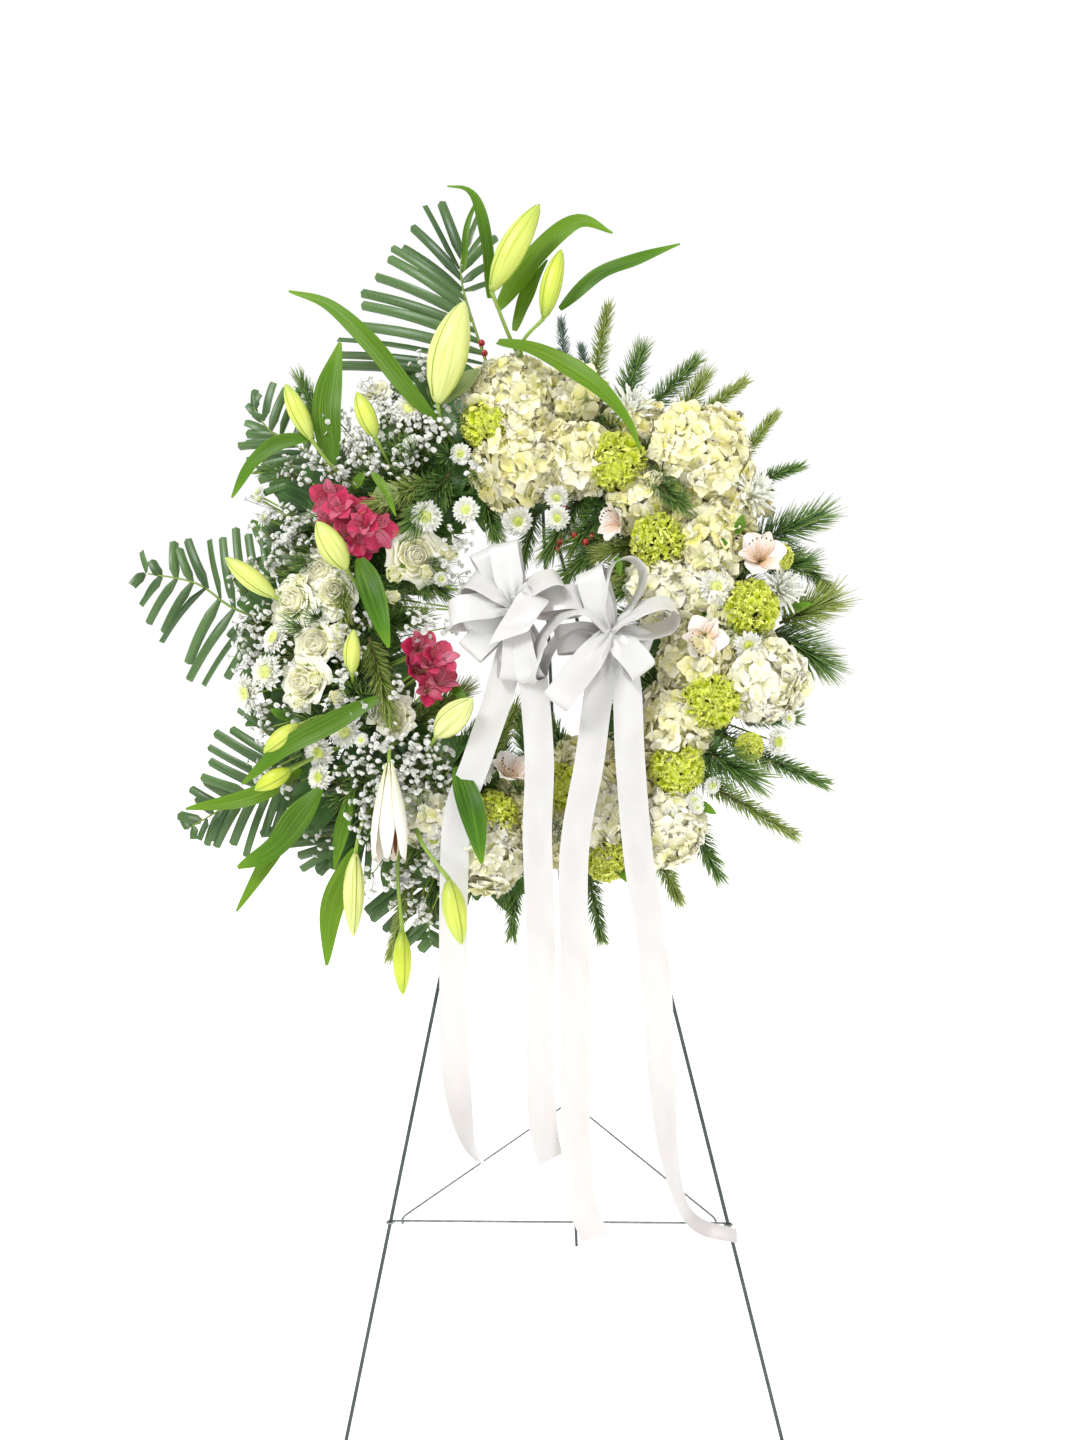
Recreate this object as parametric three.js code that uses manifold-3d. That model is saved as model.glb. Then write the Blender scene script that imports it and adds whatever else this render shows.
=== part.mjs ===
// A funeral wreath of fresh flowers on a folding wire easel.
//
// Millimetres, +Z up, X to the right, the front of the wreath towards -Y.
// The easel is drawn with its two front feet on the X axis. The wreath is drawn in a frame of its
// own that leans back with the front legs: x is right, y is up along the legs, and z stands out
// from the legs towards the viewer. Its centre is the centre of the foam ring.
// Every cut stem with all that grows on it is one solid, pushed into a hole in the foam.

import * as THREE from 'three';
import { mergeVertices } from 'three/addons/utils/BufferGeometryUtils.js';
import Module from 'manifold-3d';

const wasm = await Module();
wasm.setup();

// ---------------------------------------------------------------- driving dimensions

const EASEL_HEIGHT = 1220;        // top of the hinge eyes, a 48 inch easel
const FOOT_HALF_SPREAD = 278;     // front feet, from the middle
const SETBACK = 237;              // hinge behind the front feet
const REAR_FOOT_Y = 465;
const LEG_WIRE = 2.5;             // radius of the leg wire
const THIN_WIRE = 1.4;            // radius of the crossbar and brace wire
const EYE_RADIUS = 5.4;           // centre line of the eyes on the hinge pin
const EYE_PITCH = 5.5;            // from one eye to the next along the pin
const EYE_SWEEP = 265;            // degrees of wire in an eye
const CROSSBAR_Z = 280;
const BRACE_HALF_SPREAD = 200;    // hooks of the brace along the crossbar
const BRACE_Z = 270;              // where the brace passes behind the rear leg

const RING_UP_LEGS = 1039;        // centre of the ring, measured up along the legs
const RING_LEFT = -20;            // and a little left of the middle
const RING_INNER = 205;
const RING_OUTER = 289;
const RING_MIDDLE = (RING_INNER + RING_OUTER) / 2;
const BASE_BACK = 3;              // the ring base starts just in front of the legs
const BASE_FRONT = 14;
const FOAM_FRONT = 62;
const STEM_DEPTH = 32;            // height of a stem's cut end, inside the foam

const RIBBON_WIDTH = 35;          // number 9 satin ribbon
const RIBBON_THICKNESS = 1;
const CLEARANCE = 1.3;            // between flowers, leaves and ribbons that touch
const SOFT_DETAIL = 0.55;         // smaller steps in flowers, leaves and ribbons are smoothed away
const HARD_DETAIL = 0.02;         // and in the wires and the ring

// ---------------------------------------------------------------- materials

function finish(color, roughness, metalness = 0) {
  return new THREE.MeshStandardMaterial({ color, roughness, metalness });
}

const EASEL_WIRE = finish('#46514e', 0.5, 0.6);
const BARE_WIRE = finish('#8f9695', 0.35, 0.9);
const TRAY = finish('#2f4a34', 0.6);
const FOAM = finish('#3d6b3f', 0.95);
const SATIN = finish('#f7f5f3', 0.4);
const PALM = finish('#3d5a35', 0.6);
const LILY_GREEN = finish('#b9cf45', 0.5);
const PINE = finish('#6f8a55', 0.7);
const CREAM = finish('#ece8b4', 0.8);
const LIME = finish('#c6d147', 0.85);
const ROSE = finish('#f1edc0', 0.7);
const PINK = finish('#e27a9c', 0.6);
const WHITE = finish('#f3f1e8', 0.7);

// ---------------------------------------------------------------- small tools

const vec = (x, y, z) => new THREE.Vector3(x, y, z);
const RIGHT = vec(1, 0, 0);
const OUTWARD = vec(0, 0, 1);     // in the wreath's frame
const degrees = THREE.MathUtils.degToRad;
const mix = THREE.MathUtils.lerp;

// A closed geometry as a manifold solid: shared corners are merged, slivers dropped and the
// triangles turned to face out.
function solid(geometry) {
  const bare = new THREE.BufferGeometry();
  bare.setAttribute('position', geometry.attributes.position.clone());
  if (geometry.index) bare.setIndex(geometry.index.clone());
  const merged = mergeVertices(bare, 1e-3);
  const place = merged.attributes.position;
  const corners = [];
  let volume = 0;
  const a = vec(), b = vec(), c = vec();
  for (let i = 0; i < merged.index.count; i += 3) {
    const [p, q, r] = [0, 1, 2].map((k) => merged.index.getX(i + k));
    if (p === q || q === r || r === p) continue;
    corners.push(p, q, r);
    a.fromBufferAttribute(place, p);
    b.fromBufferAttribute(place, q);
    c.fromBufferAttribute(place, r);
    volume += a.dot(b.cross(c));
  }
  if (volume < 0) corners.reverse();
  return new wasm.Manifold(new wasm.Mesh({
    numProp: 3,
    vertProperties: new Float32Array(place.array),
    triVerts: new Uint32Array(corners),
  }));
}

// The largest connected body of a solid, with its tiny edges collapsed.
function mainBody(shape, detail) {
  const bodies = shape.asOriginal().simplify(detail).decompose();
  return bodies.reduce((best, body) => (body.volume() > best.volume() ? body : best));
}

function named(name, shape, material, detail = HARD_DETAIL) {
  const { vertProperties, triVerts } = mainBody(shape, detail).getMesh();
  const geometry = new THREE.BufferGeometry();
  geometry.setAttribute('position', new THREE.BufferAttribute(vertProperties, 3));
  geometry.setIndex(new THREE.BufferAttribute(triVerts, 1));
  geometry.computeVertexNormals();
  const mesh = new THREE.Mesh(geometry, material);
  mesh.name = name;
  return mesh;
}

const union = (shapes) => (shapes.length > 1 ? wasm.Manifold.union(shapes) : shapes[0]);

function boxesMeet(one, other) {
  const a = one.boundingBox();
  const b = other.boundingBox();
  return [0, 1, 2].every((k) => a.min[k] < b.max[k] && b.min[k] < a.max[k]);
}

// Takes away each cutter that comes near the shape.
function carve(shape, cutters) {
  const near = cutters.filter((cutter) => boxesMeet(shape, cutter));
  return near.length ? shape.subtract(union(near)) : shape;
}

// A curve that runs through its points in straight steps, one step between two points, so that
// long straight wires need no extra rings.
class BentLine extends THREE.Curve {
  constructor(points) {
    super();
    this.points = points;
  }
  getUtoTmapping(u) {
    return u;
  }
  getPoint(t, target = vec()) {
    const place = t * (this.points.length - 1);
    const k = Math.min(Math.floor(place), this.points.length - 2);
    return target.lerpVectors(this.points[k], this.points[k + 1], place - k);
  }
  getTangent(t, target = vec()) {
    const k = Math.round(t * (this.points.length - 1));
    const last = this.points.length - 1;
    const before = vec().subVectors(this.points[Math.max(k, 1)], this.points[Math.max(k, 1) - 1]);
    const after = vec().subVectors(this.points[Math.min(k + 1, last)], this.points[Math.min(k, last - 1)]);
    return target.addVectors(before.normalize(), after.normalize()).normalize();
  }
}

function polygon(radius, sides) {
  const corner = (_, k) => {
    const angle = (2 * Math.PI * (k + 0.5)) / sides;
    return new THREE.Vector2(radius * Math.cos(angle), radius * Math.sin(angle));
  };
  return new THREE.Shape(Array.from({ length: sides }, corner));
}

// A round wire or stem through the points, its ends flat.
function rod(points, radius, sides) {
  return solid(new THREE.ExtrudeGeometry(polygon(radius, sides), {
    steps: points.length - 1,
    extrudePath: new BentLine(points),
    bevelEnabled: false,
  }));
}

function smooth(points, steps) {
  const list = points.map((p) => (p.isVector3 ? p : vec(...p)));
  return new THREE.CatmullRomCurve3(list, false, 'centripetal').getSpacedPoints(steps);
}

// Points on a circle in the plane of the unit vectors a and b.
function arc(centre, a, b, radius, from, to, steps) {
  return Array.from({ length: steps + 1 }, (_, k) => {
    const angle = degrees(mix(from, to, k / steps));
    return centre.clone().addScaledVector(a, radius * Math.cos(angle))
      .addScaledVector(b, radius * Math.sin(angle));
  });
}

// A turned shape: the profile holds [distance along the axis, radius] pairs, starts and ends on
// the axis, and stands from a point along a direction. A grown copy, used to cut a neighbour, has
// few sides that lie outside the shape.
const CUTTER_SIDES = 6;

function turned(profile, base, direction, sides, grow = 0) {
  const middle = profile.reduce((sum, [along]) => sum + along, 0) / profile.length;
  const outside = grow ? 1 / Math.cos(Math.PI / CUTTER_SIDES) : 1;
  const outline = profile.map(([along, radius]) => new THREE.Vector2(
    radius > 0 ? (radius + grow) * outside : 0,
    along + (radius > 0 ? 0 : Math.sign(along - middle) * grow),
  ));
  const geometry = new THREE.LatheGeometry(outline, grow ? Math.min(sides, CUTTER_SIDES) : sides);
  const turn = new THREE.Quaternion().setFromUnitVectors(vec(0, 1, 0), direction.clone().normalize());
  geometry.applyQuaternion(turn);
  geometry.translate(base.x, base.y, base.z);
  return solid(geometry);
}

// A flat strip bent along a path: leaf, leaflet or ribbon. `width` gives the width at a fraction
// of the length and `fold` how far the edges rise above the middle, as a part of the width. The
// strip's width lies along `crosswise`, or else its face looks to `facing`, turned about the path
// by `twist` degrees.
function strip(path, options) {
  const { width, thickness, crosswise, facing = OUTWARD, twist = () => 0, fold = 0, grow = 0 } = options;
  const steps = path.length - 1;
  const geometry = new THREE.BoxGeometry(1, 1, 1, fold ? 2 : 1, steps, 1);
  const corners = geometry.attributes.position;
  const line = new BentLine(path);
  const along = vec(), across = vec(), up = vec(), point = vec();
  for (let i = 0; i < corners.count; i += 1) {
    const t = corners.getY(i) + 0.5;
    line.getPoint(t, point);
    line.getTangent(t, along);
    if (crosswise) across.copy(crosswise);
    else across.crossVectors(facing, along).normalize().applyAxisAngle(along, degrees(twist(t)));
    up.crossVectors(along, across);
    const side = corners.getX(i);
    const span = width(t);
    point.addScaledVector(across, side * (span + 2 * grow));
    point.addScaledVector(up, corners.getZ(i) * (thickness + 2 * grow) + fold * Math.abs(side) * span);
    if (t < 1e-6) point.addScaledVector(along, -grow);
    if (t > 1 - 1e-6) point.addScaledVector(along, grow);
    corners.setXYZ(i, point.x, point.y, point.z);
  }
  return solid(geometry);
}

// ---------------------------------------------------------------- easel

const LEAN = Math.atan2(SETBACK, EASEL_HEIGHT - EYE_RADIUS - LEG_WIRE);
const HINGE = vec(0, SETBACK, EASEL_HEIGHT - EYE_RADIUS - LEG_WIRE);
const UP_LEGS = vec(0, Math.sin(LEAN), Math.cos(LEAN));
const TO_FRONT = vec(0, -Math.cos(LEAN), Math.sin(LEAN));
const TO_BACK = TO_FRONT.clone().negate();
const LEG_LENGTH = Math.hypot(HINGE.y, HINGE.z);

// The line of a front leg: side is -1 on the left and 1 on the right, and `up` is measured up
// along the leg plane. The legs lie one eye radius in front of the hinge.
function frontLegPoint(side, up) {
  const spread = mix(FOOT_HALF_SPREAD, EYE_PITCH, Math.min(up / LEG_LENGTH, 1));
  return vec(side * spread, 0, 0).addScaledVector(UP_LEGS, up);
}

function frontLeg(side) {
  const centre = vec(side * EYE_PITCH, HINGE.y, HINGE.z);
  const eye = arc(centre, TO_FRONT, UP_LEGS, EYE_RADIUS, 0, EYE_SWEEP, 12);
  const leg = rod([frontLegPoint(side, -20), frontLegPoint(side, LEG_LENGTH - 45), ...eye], LEG_WIRE, 8);
  return named(side < 0 ? 'front_leg_left' : 'front_leg_right', aboveFloor(leg), EASEL_WIRE);
}

// The feet are cut off level with the floor.
function aboveFloor(leg) {
  const below = new THREE.BoxGeometry(2000, 2000, 100);
  below.translate(0, 0, -50);
  return leg.subtract(solid(below));
}

// The rear leg reaches its eye from behind, so its line passes one eye radius behind the hinge.
const REAR_REACH = Math.hypot(REAR_FOOT_Y - SETBACK, HINGE.z);
const REAR_LEAN = Math.atan2(REAR_FOOT_Y - SETBACK, HINGE.z) - Math.asin(EYE_RADIUS / REAR_REACH);
const REAR_UP = vec(0, -Math.sin(REAR_LEAN), Math.cos(REAR_LEAN));
const REAR_OUT = vec(0, Math.cos(REAR_LEAN), Math.sin(REAR_LEAN));

function rearLegPoint(z) {
  const top = HINGE.clone().addScaledVector(REAR_OUT, EYE_RADIUS);
  return top.addScaledVector(REAR_UP, (z - top.z) / REAR_UP.z);
}

function rearLeg() {
  const eye = arc(HINGE, REAR_OUT, REAR_UP, EYE_RADIUS, 0, EYE_SWEEP, 12);
  return named('rear_leg', aboveFloor(rod([rearLegPoint(-20), ...eye], LEG_WIRE, 8)), EASEL_WIRE);
}

function hingePin() {
  const half = 1.5 * EYE_PITCH + 0.7;
  const head = [4.5, 2.2];
  const profile = [
    [-half - head[1], 0], [-half - head[1], head[0]], [-half, head[0]], [-half, LEG_WIRE],
    [half, LEG_WIRE], [half, head[0]], [half + head[1], head[0]], [half + head[1], 0],
  ];
  return named('hinge_pin', turned(profile, HINGE, RIGHT, 12), BARE_WIRE);
}

// The crossbar runs behind the front legs, with an eye round each.
const CROSSBAR_EYE = LEG_WIRE + THIN_WIRE + 0.6;
const CROSSBAR_UP = CROSSBAR_Z / Math.cos(LEAN);

function crossbarEye(side) {
  const centre = frontLegPoint(side, CROSSBAR_UP);
  return arc(centre, TO_BACK, RIGHT.clone().multiplyScalar(side), CROSSBAR_EYE, 0, 280, 10);
}

function frontCrossbar() {
  const points = [...crossbarEye(-1).reverse(), ...crossbarEye(1)];
  return named('front_crossbar', rod(points, THIN_WIRE, 6), BARE_WIRE);
}

// The brace: a hook over the crossbar at each end, and one bend behind the rear leg.
const CROSSBAR_AXIS = frontLegPoint(0, CROSSBAR_UP).setX(0).addScaledVector(TO_BACK, CROSSBAR_EYE);
const BRACE_HOOK = 2 * THIN_WIRE + 0.5;
const BRACE_BEND = LEG_WIRE + THIN_WIRE + 0.6;

function rearBrace() {
  const behind = rearLegPoint(BRACE_Z);
  const arm = vec().subVectors(behind, CROSSBAR_AXIS).normalize();
  const over = vec(0, -arm.z, arm.y);
  const slant = Math.atan2(BRACE_HALF_SPREAD, behind.y - CROSSBAR_AXIS.y) * THREE.MathUtils.RAD2DEG;
  const half = (side) => {
    const centre = CROSSBAR_AXIS.clone().setX(side * BRACE_HALF_SPREAD);
    const hook = arc(centre, over, arm, BRACE_HOOK, -EYE_SWEEP, 0, 10);
    const start = centre.clone().addScaledVector(over, BRACE_HOOK).addScaledVector(arm, 8);
    return [...hook, start.setX(side * (BRACE_HALF_SPREAD - 2))];
  };
  const bend = arc(behind, RIGHT, arm, BRACE_BEND, 180 - slant, slant, 6);
  const points = [...half(-1), ...bend, ...half(1).reverse()];
  return named('rear_brace', rod(points, THIN_WIRE, 6), BARE_WIRE);
}

// The hook: a wire welded to the front of both front legs, bent forward under the ring's inner
// rim and turned up at its end.
function topHook() {
  const wire = 2;
  const rim = RING_UP_LEGS + Math.sqrt(RING_INNER ** 2 - 30 ** 2) - wire - 0.35;
  const weld = LEG_LENGTH - 70;
  const out = LEG_WIRE + wire + 0.35;
  const half = (side) => [
    frontLegPoint(side, weld - 25).addScaledVector(TO_FRONT, out),
    frontLegPoint(side, weld).addScaledVector(TO_FRONT, out),
    ...[[rim - 12, 13], [rim - 3, 15], [rim, 22], [rim, 66], [rim + 4, 72], [rim + 14, 74]].map(
      ([up, forward]) => vec(side * 9, 0, 0).addScaledVector(UP_LEGS, up).addScaledVector(TO_FRONT, forward),
    ),
  ];
  return rod([...half(-1), ...half(1).reverse()], wire, 6);
}

// ---------------------------------------------------------------- ring

// A ring turned about the wreath's axis: the profile holds [radius, height off the legs] pairs.
function turnedRing(profile, grow = 0) {
  const middle = [RING_MIDDLE, (BASE_BACK + FOAM_FRONT) / 2];
  const outline = profile.map(([radius, height]) => new THREE.Vector2(
    radius + Math.sign(radius - middle[0]) * grow,
    height + Math.sign(height - middle[1]) * grow,
  ));
  outline.push(outline[0].clone());
  const geometry = new THREE.LatheGeometry(outline, 32);
  geometry.rotateX(Math.PI / 2);
  return solid(geometry);
}

const BASE_PROFILE = [
  [RING_INNER + 6, BASE_BACK], [RING_OUTER - 6, BASE_BACK],
  [RING_OUTER, BASE_FRONT], [RING_INNER, BASE_FRONT],
];
const FOAM_PROFILE = [
  [RING_INNER + 2, BASE_FRONT + 0.5], [RING_OUTER - 2, BASE_FRONT + 0.5],
  [RING_OUTER - 20, FOAM_FRONT], [RING_INNER + 20, FOAM_FRONT],
];

// The point inside the foam where a stem ends, on the ring at the angle of the given place.
function footFor([x, y]) {
  const away = Math.hypot(x, y);
  const radius = THREE.MathUtils.clamp(mix(RING_MIDDLE, away, 0.3), RING_INNER + 22, RING_OUTER - 22);
  return vec((x * radius) / away, (y * radius) / away, STEM_DEPTH);
}

// ---------------------------------------------------------------- stems and what grows on them

// Every piece has a core, its stem, and a body, what grows on it. Both take `grow`, so that a
// neighbour can be cut with a copy that is larger by the clearance. A stem is straight from its
// cut end until it is out of the foam.
function stemRod(points, radius, grow) {
  const path = points.map((p) => p.clone());
  const last = path.length - 1;
  if (grow) {
    path[0].addScaledVector(vec().subVectors(path[0], path[1]).normalize(), grow);
    path[last].addScaledVector(vec().subVectors(path[last], path[last - 1]).normalize(), grow);
  }
  return rod(path, radius + grow, 4);
}

function nearest(points, target) {
  return points.reduce((best, p) => (p.distanceTo(target) < best.distanceTo(target) ? p : best));
}

const leafWidth = (widest) => (t) => 1.5 + widest * Math.sin(Math.PI * t ** 0.85) ** 0.8;

function leaf(path, width, grow) {
  return strip(smooth(path, 5), { width: leafWidth(width), thickness: 1.6, grow });
}

// A lily stem: the stem's points, buds as [base, tip, radius] and leaves as [width, points].
function lily(name, stem, buds, leaves) {
  const route = [footFor(stem[0]), ...smooth(stem, 3)];
  const budProfile = (length, radius) => [
    [0, 0], [0.02 * length, 0.35 * radius], [0.3 * length, 0.72 * radius], [0.68 * length, radius],
    [0.9 * length, 0.62 * radius], [length, 0],
  ];
  const body = (grow) => union([
    ...buds.map(([base, tip, radius]) => {
      const from = vec(...base);
      const along = vec(...tip).sub(from);
      const bud = turned(budProfile(along.length(), radius), from, along, 7, grow);
      const start = nearest(route, from);
      const end = from.clone().addScaledVector(along.clone().normalize(), 6);
      const bend = start.clone().lerp(end, 0.6).addScaledVector(along.clone().normalize(), -10);
      return bud.add(stemRod([start, bend, end], 2.6, grow));
    }),
    ...leaves.map(([width, points]) => leaf([nearest(route, vec(...points[0])), ...points], width, grow)),
  ]);
  return { name, material: LILY_GREEN, core: (grow) => stemRod(route, 4, grow), body };
}

// One flower head of a turned shape on a short straight stem.
function head(name, material, place, profile, sides, tilt = [0, 0]) {
  const centre = vec(...place);
  const foot = footFor(place);
  const neck = vec(tilt[0], tilt[1], 1).normalize();
  const length = profile[profile.length - 1][0];
  const base = centre.clone().addScaledVector(neck, -length);
  const top = centre.clone().addScaledVector(neck, -length * 0.6);
  return {
    name,
    material,
    core: (grow) => stemRod([foot, base, top], 2.5, grow),
    body: (grow) => turned(profile, base, neck, sides, grow),
  };
}

// Flower heads on the twigs of one stem.
function spray(name, material, joint, heads, profileFor, sides) {
  const foot = footFor(joint);
  const fork = vec(...joint);
  const parts = heads.map(([x, y, z, radius]) => {
    const centre = vec(x, y, z);
    const profile = profileFor(radius);
    const length = profile[profile.length - 1][0];
    const neck = vec(x - joint[0], y - joint[1], 2.2 * (z - joint[2]) + 40).normalize();
    const base = centre.clone().addScaledVector(neck, -length);
    const inside = base.clone().addScaledVector(neck, length * 0.4);
    return { profile, neck, base, inside };
  });
  return {
    name,
    material,
    core: (grow) => union([
      stemRod([foot, fork], 3, grow),
      ...parts.map(({ base, inside }) => stemRod([fork, base, inside], 2, grow)),
    ]),
    body: (grow) => union(parts.map(({ profile, neck, base }) => turned(profile, base, neck, sides, grow))),
  };
}

// Hydrangea: one or two round heads on one stem.
function hydrangea(name, lobes) {
  const [first] = lobes;
  const foot = footFor(first);
  const mound = ([x, y, z, radius], grow) => {
    const geometry = new THREE.IcosahedronGeometry(1, 1);
    const deep = 0.72 * radius;
    geometry.scale(radius + grow, radius + grow, deep + grow);
    geometry.translate(x, y, z);
    return solid(geometry);
  };
  return {
    name,
    material: CREAM,
    core: (grow) => union(lobes.map(([x, y, z]) => stemRod([foot, vec(x, y, z)], 3, grow))),
    body: (grow) => union(lobes.map((lobe) => mound(lobe, grow))),
  };
}

// Profiles of the flower heads, [along the axis, radius], each ending at the front of the bloom.
const carnationProfile = (r) => [
  [0, 0], [0, 5], [0.8 * r, 8], [1.0 * r, r], [1.45 * r, 0.9 * r], [1.7 * r, 0],
];
const roseProfile = (r) => [
  [0, 0], [0.3 * r, 0.7 * r], [1.1 * r, r], [1.6 * r, 0.75 * r], [1.7 * r, 0],
];
const trumpetProfile = (r) => [[0, 0], [0.7 * r, 0.45 * r], [1.3 * r, r], [1.2 * r, 0]];
const daisyProfile = (r) => [[0, 0], [0.3 * r, r], [0.5 * r, 0.9 * r], [0.75 * r, 0]];
const mumProfile = (r) => [[0, 0], [0.5 * r, 0.8 * r], [r, r], [1.5 * r, 0.7 * r], [1.7 * r, 0]];
const crumbProfile = (r) => [[0, 0], [0.4 * r, r], [1.4 * r, r], [1.8 * r, 0]];

// A palm frond: leaflets in pairs along a bending rib. `reach` gives a leaflet's length on the
// left and on the right side of the rib, seen from the front, and `pairs` how many there are.
function palm(name, ribPoints, pairs, reach) {
  const rib = [footFor(ribPoints[0]), ...smooth(ribPoints, 6)];
  const line = new THREE.CatmullRomCurve3(rib.slice(1), false, 'centripetal');
  const leaflets = [];
  for (let k = 0; k < pairs; k += 1) {
    const t = mix(0.2, 0.97, k / (pairs - 1));
    const root = line.getPointAt(t);
    const along = line.getTangentAt(t);
    const left = vec().crossVectors(OUTWARD, along).normalize();
    for (const [side, longest] of [[1, reach[0]], [-1, reach[1]]]) {
      const opening = degrees(mix(58, 14, k / (pairs - 1)));
      const length = longest * (0.72 + 0.28 * Math.sin(Math.PI * (0.15 + 0.85 * t)));
      const way = along.clone().multiplyScalar(Math.cos(opening)).addScaledVector(left, side * Math.sin(opening));
      const tip = root.clone().addScaledVector(way, length).addScaledVector(OUTWARD, -8);
      const bow = root.clone().lerp(tip, 0.5).addScaledVector(OUTWARD, 9).addScaledVector(along, 5);
      leaflets.push([root, bow, tip]);
    }
  }
  const width = (t) => 1.2 + 12 * Math.sin(Math.PI * mix(0.12, 1, t)) ** 0.7;
  return {
    name,
    material: PALM,
    core: (grow) => stemRod(rib, 2.2, grow),
    body: (grow) => union(leaflets.map((points) => strip(smooth(points, 2), { width, thickness: 1.2, grow }))),
  };
}

// A pine branch: a bottle-brush of needles on each twig. Twigs are [from, to] pairs.
function pine(name, joint, twigs, radius = 20) {
  const foot = footFor(joint);
  const fork = vec(...joint);
  const ends = twigs.map(([from, to]) => [vec(...from), vec(...to)]);
  const brush = ([from, to], grow) => {
    const along = vec().subVectors(to, from);
    const length = along.length();
    const profile = [[0.1 * length, 0], [0.12 * length, 5], [0.5 * length, radius * 0.8], [0.85 * length, radius], [length, 0]];
    return turned(profile, from, along, 6, grow);
  };
  return {
    name,
    material: PINE,
    core: (grow) => union([
      stemRod([foot, fork], 3, grow),
      ...ends.map(([from, to]) => stemRod([fork, from, from.clone().lerp(to, 0.6)], 1.8, grow)),
    ]),
    body: (grow) => union(ends.map((pair) => brush(pair, grow))),
  };
}

// ---------------------------------------------------------------- ribbon

// A bow: loops of ribbon that leave the knot and come back to it. A loop is [angle in the plane
// of the wreath, length, height of its front face, roll about its own direction].
function bow(name, knotPlace, loops) {
  const knot = vec(...knotPlace);
  const loop = ([angle, length, height, roll], grow) => {
    const out = vec(Math.cos(degrees(angle)), Math.sin(degrees(angle)), 0);
    const lift = OUTWARD.clone().applyAxisAngle(out, degrees(roll));
    const across = vec().crossVectors(lift, out);
    const at = (along, high) => knot.clone().addScaledVector(out, along * length).addScaledVector(lift, high);
    const path = smooth(
      [at(0, 3), at(0.35, height), at(0.8, 0.85 * height), at(1, 0.1 * height), at(0.8, -10), at(0.35, -9), at(0, -3)],
      8,
    );
    return strip(path, {
      width: (t) => RIBBON_WIDTH * mix(0.45, 1, Math.sin(Math.PI * t) ** 0.6),
      thickness: RIBBON_THICKNESS,
      crosswise: across,
      grow,
    });
  };
  const knotProfile = [[-13, 0], [-13, 7], [-5, 11], [5, 11], [13, 7], [13, 0]];
  return {
    name,
    material: SATIN,
    shape: (grow) => union([
      turned(knotProfile, knot, vec(0.3, 1, 0.1), 6, grow),
      ...loops.map((one) => loop(one, grow)),
    ]),
  };
}

// A hanging tail: [points, turn in degrees at each point].
function tail(name, points, turns) {
  const path = smooth(points, 16);
  const twist = (t) => {
    const place = t * (turns.length - 1);
    const k = Math.min(Math.floor(place), turns.length - 2);
    return mix(turns[k], turns[k + 1], place - k);
  };
  return {
    name,
    material: SATIN,
    shape: (grow) => strip(path, { width: () => RIBBON_WIDTH, thickness: RIBBON_THICKNESS, twist, grow }),
  };
}

const ribbons = [
  bow('bow_left', [-8, 8, 152], [
    [97, 84, 22, 10], [148, 74, 26, -10], [186, 90, 30, 8],
    [42, 66, 24, 12], [352, 84, 26, -8], [266, 104, 24, 6],
  ]),
  bow('bow_right', [108, -14, 150], [
    [128, 78, 24, 8], [68, 88, 26, -12], [8, 84, 30, 10], [306, 78, 24, -10], [222, 122, 34, 6],
  ]),
  tail('ribbon_tail_1', [
    [-5, -40, 140], [-30, -100, 140], [-55, -170, 142], [-80, -240, 138], [-90, -340, 114], [-95, -460, 92],
    [-95, -560, 75], [-82, -635, 66], [-60, -665, 60], [-45, -672, 56],
  ], [0, 5, 5, 0, -5, -5, 0, 15, 60, 120]),
  tail('ribbon_tail_2', [
    [14, -75, 146], [20, -170, 144], [15, -265, 134], [15, -385, 112], [10, -510, 92], [10, -605, 78], [18, -655, 70],
  ], [0, 0, 4, 0, -4, 0, 35]),
  tail('ribbon_tail_3', [
    [92, -100, 142], [80, -175, 145], [58, -290, 132], [55, -460, 102], [50, -620, 78], [55, -705, 66], [70, -750, 60],
  ], [0, -6, 0, 5, 0, -5, -10]),
  tail('ribbon_tail_4', [
    [128, -75, 144], [128, -175, 146], [135, -295, 134], [150, -410, 114], [155, -530, 94], [160, -630, 78],
    [175, -705, 66], [198, -735, 60], [240, -745, 62],
  ], [0, 5, 0, -5, 0, 10, 40, 70, 85]),
];

// ---------------------------------------------------------------- the arrangement
// Places are [right, up, off the legs] from the centre of the ring.

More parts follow.
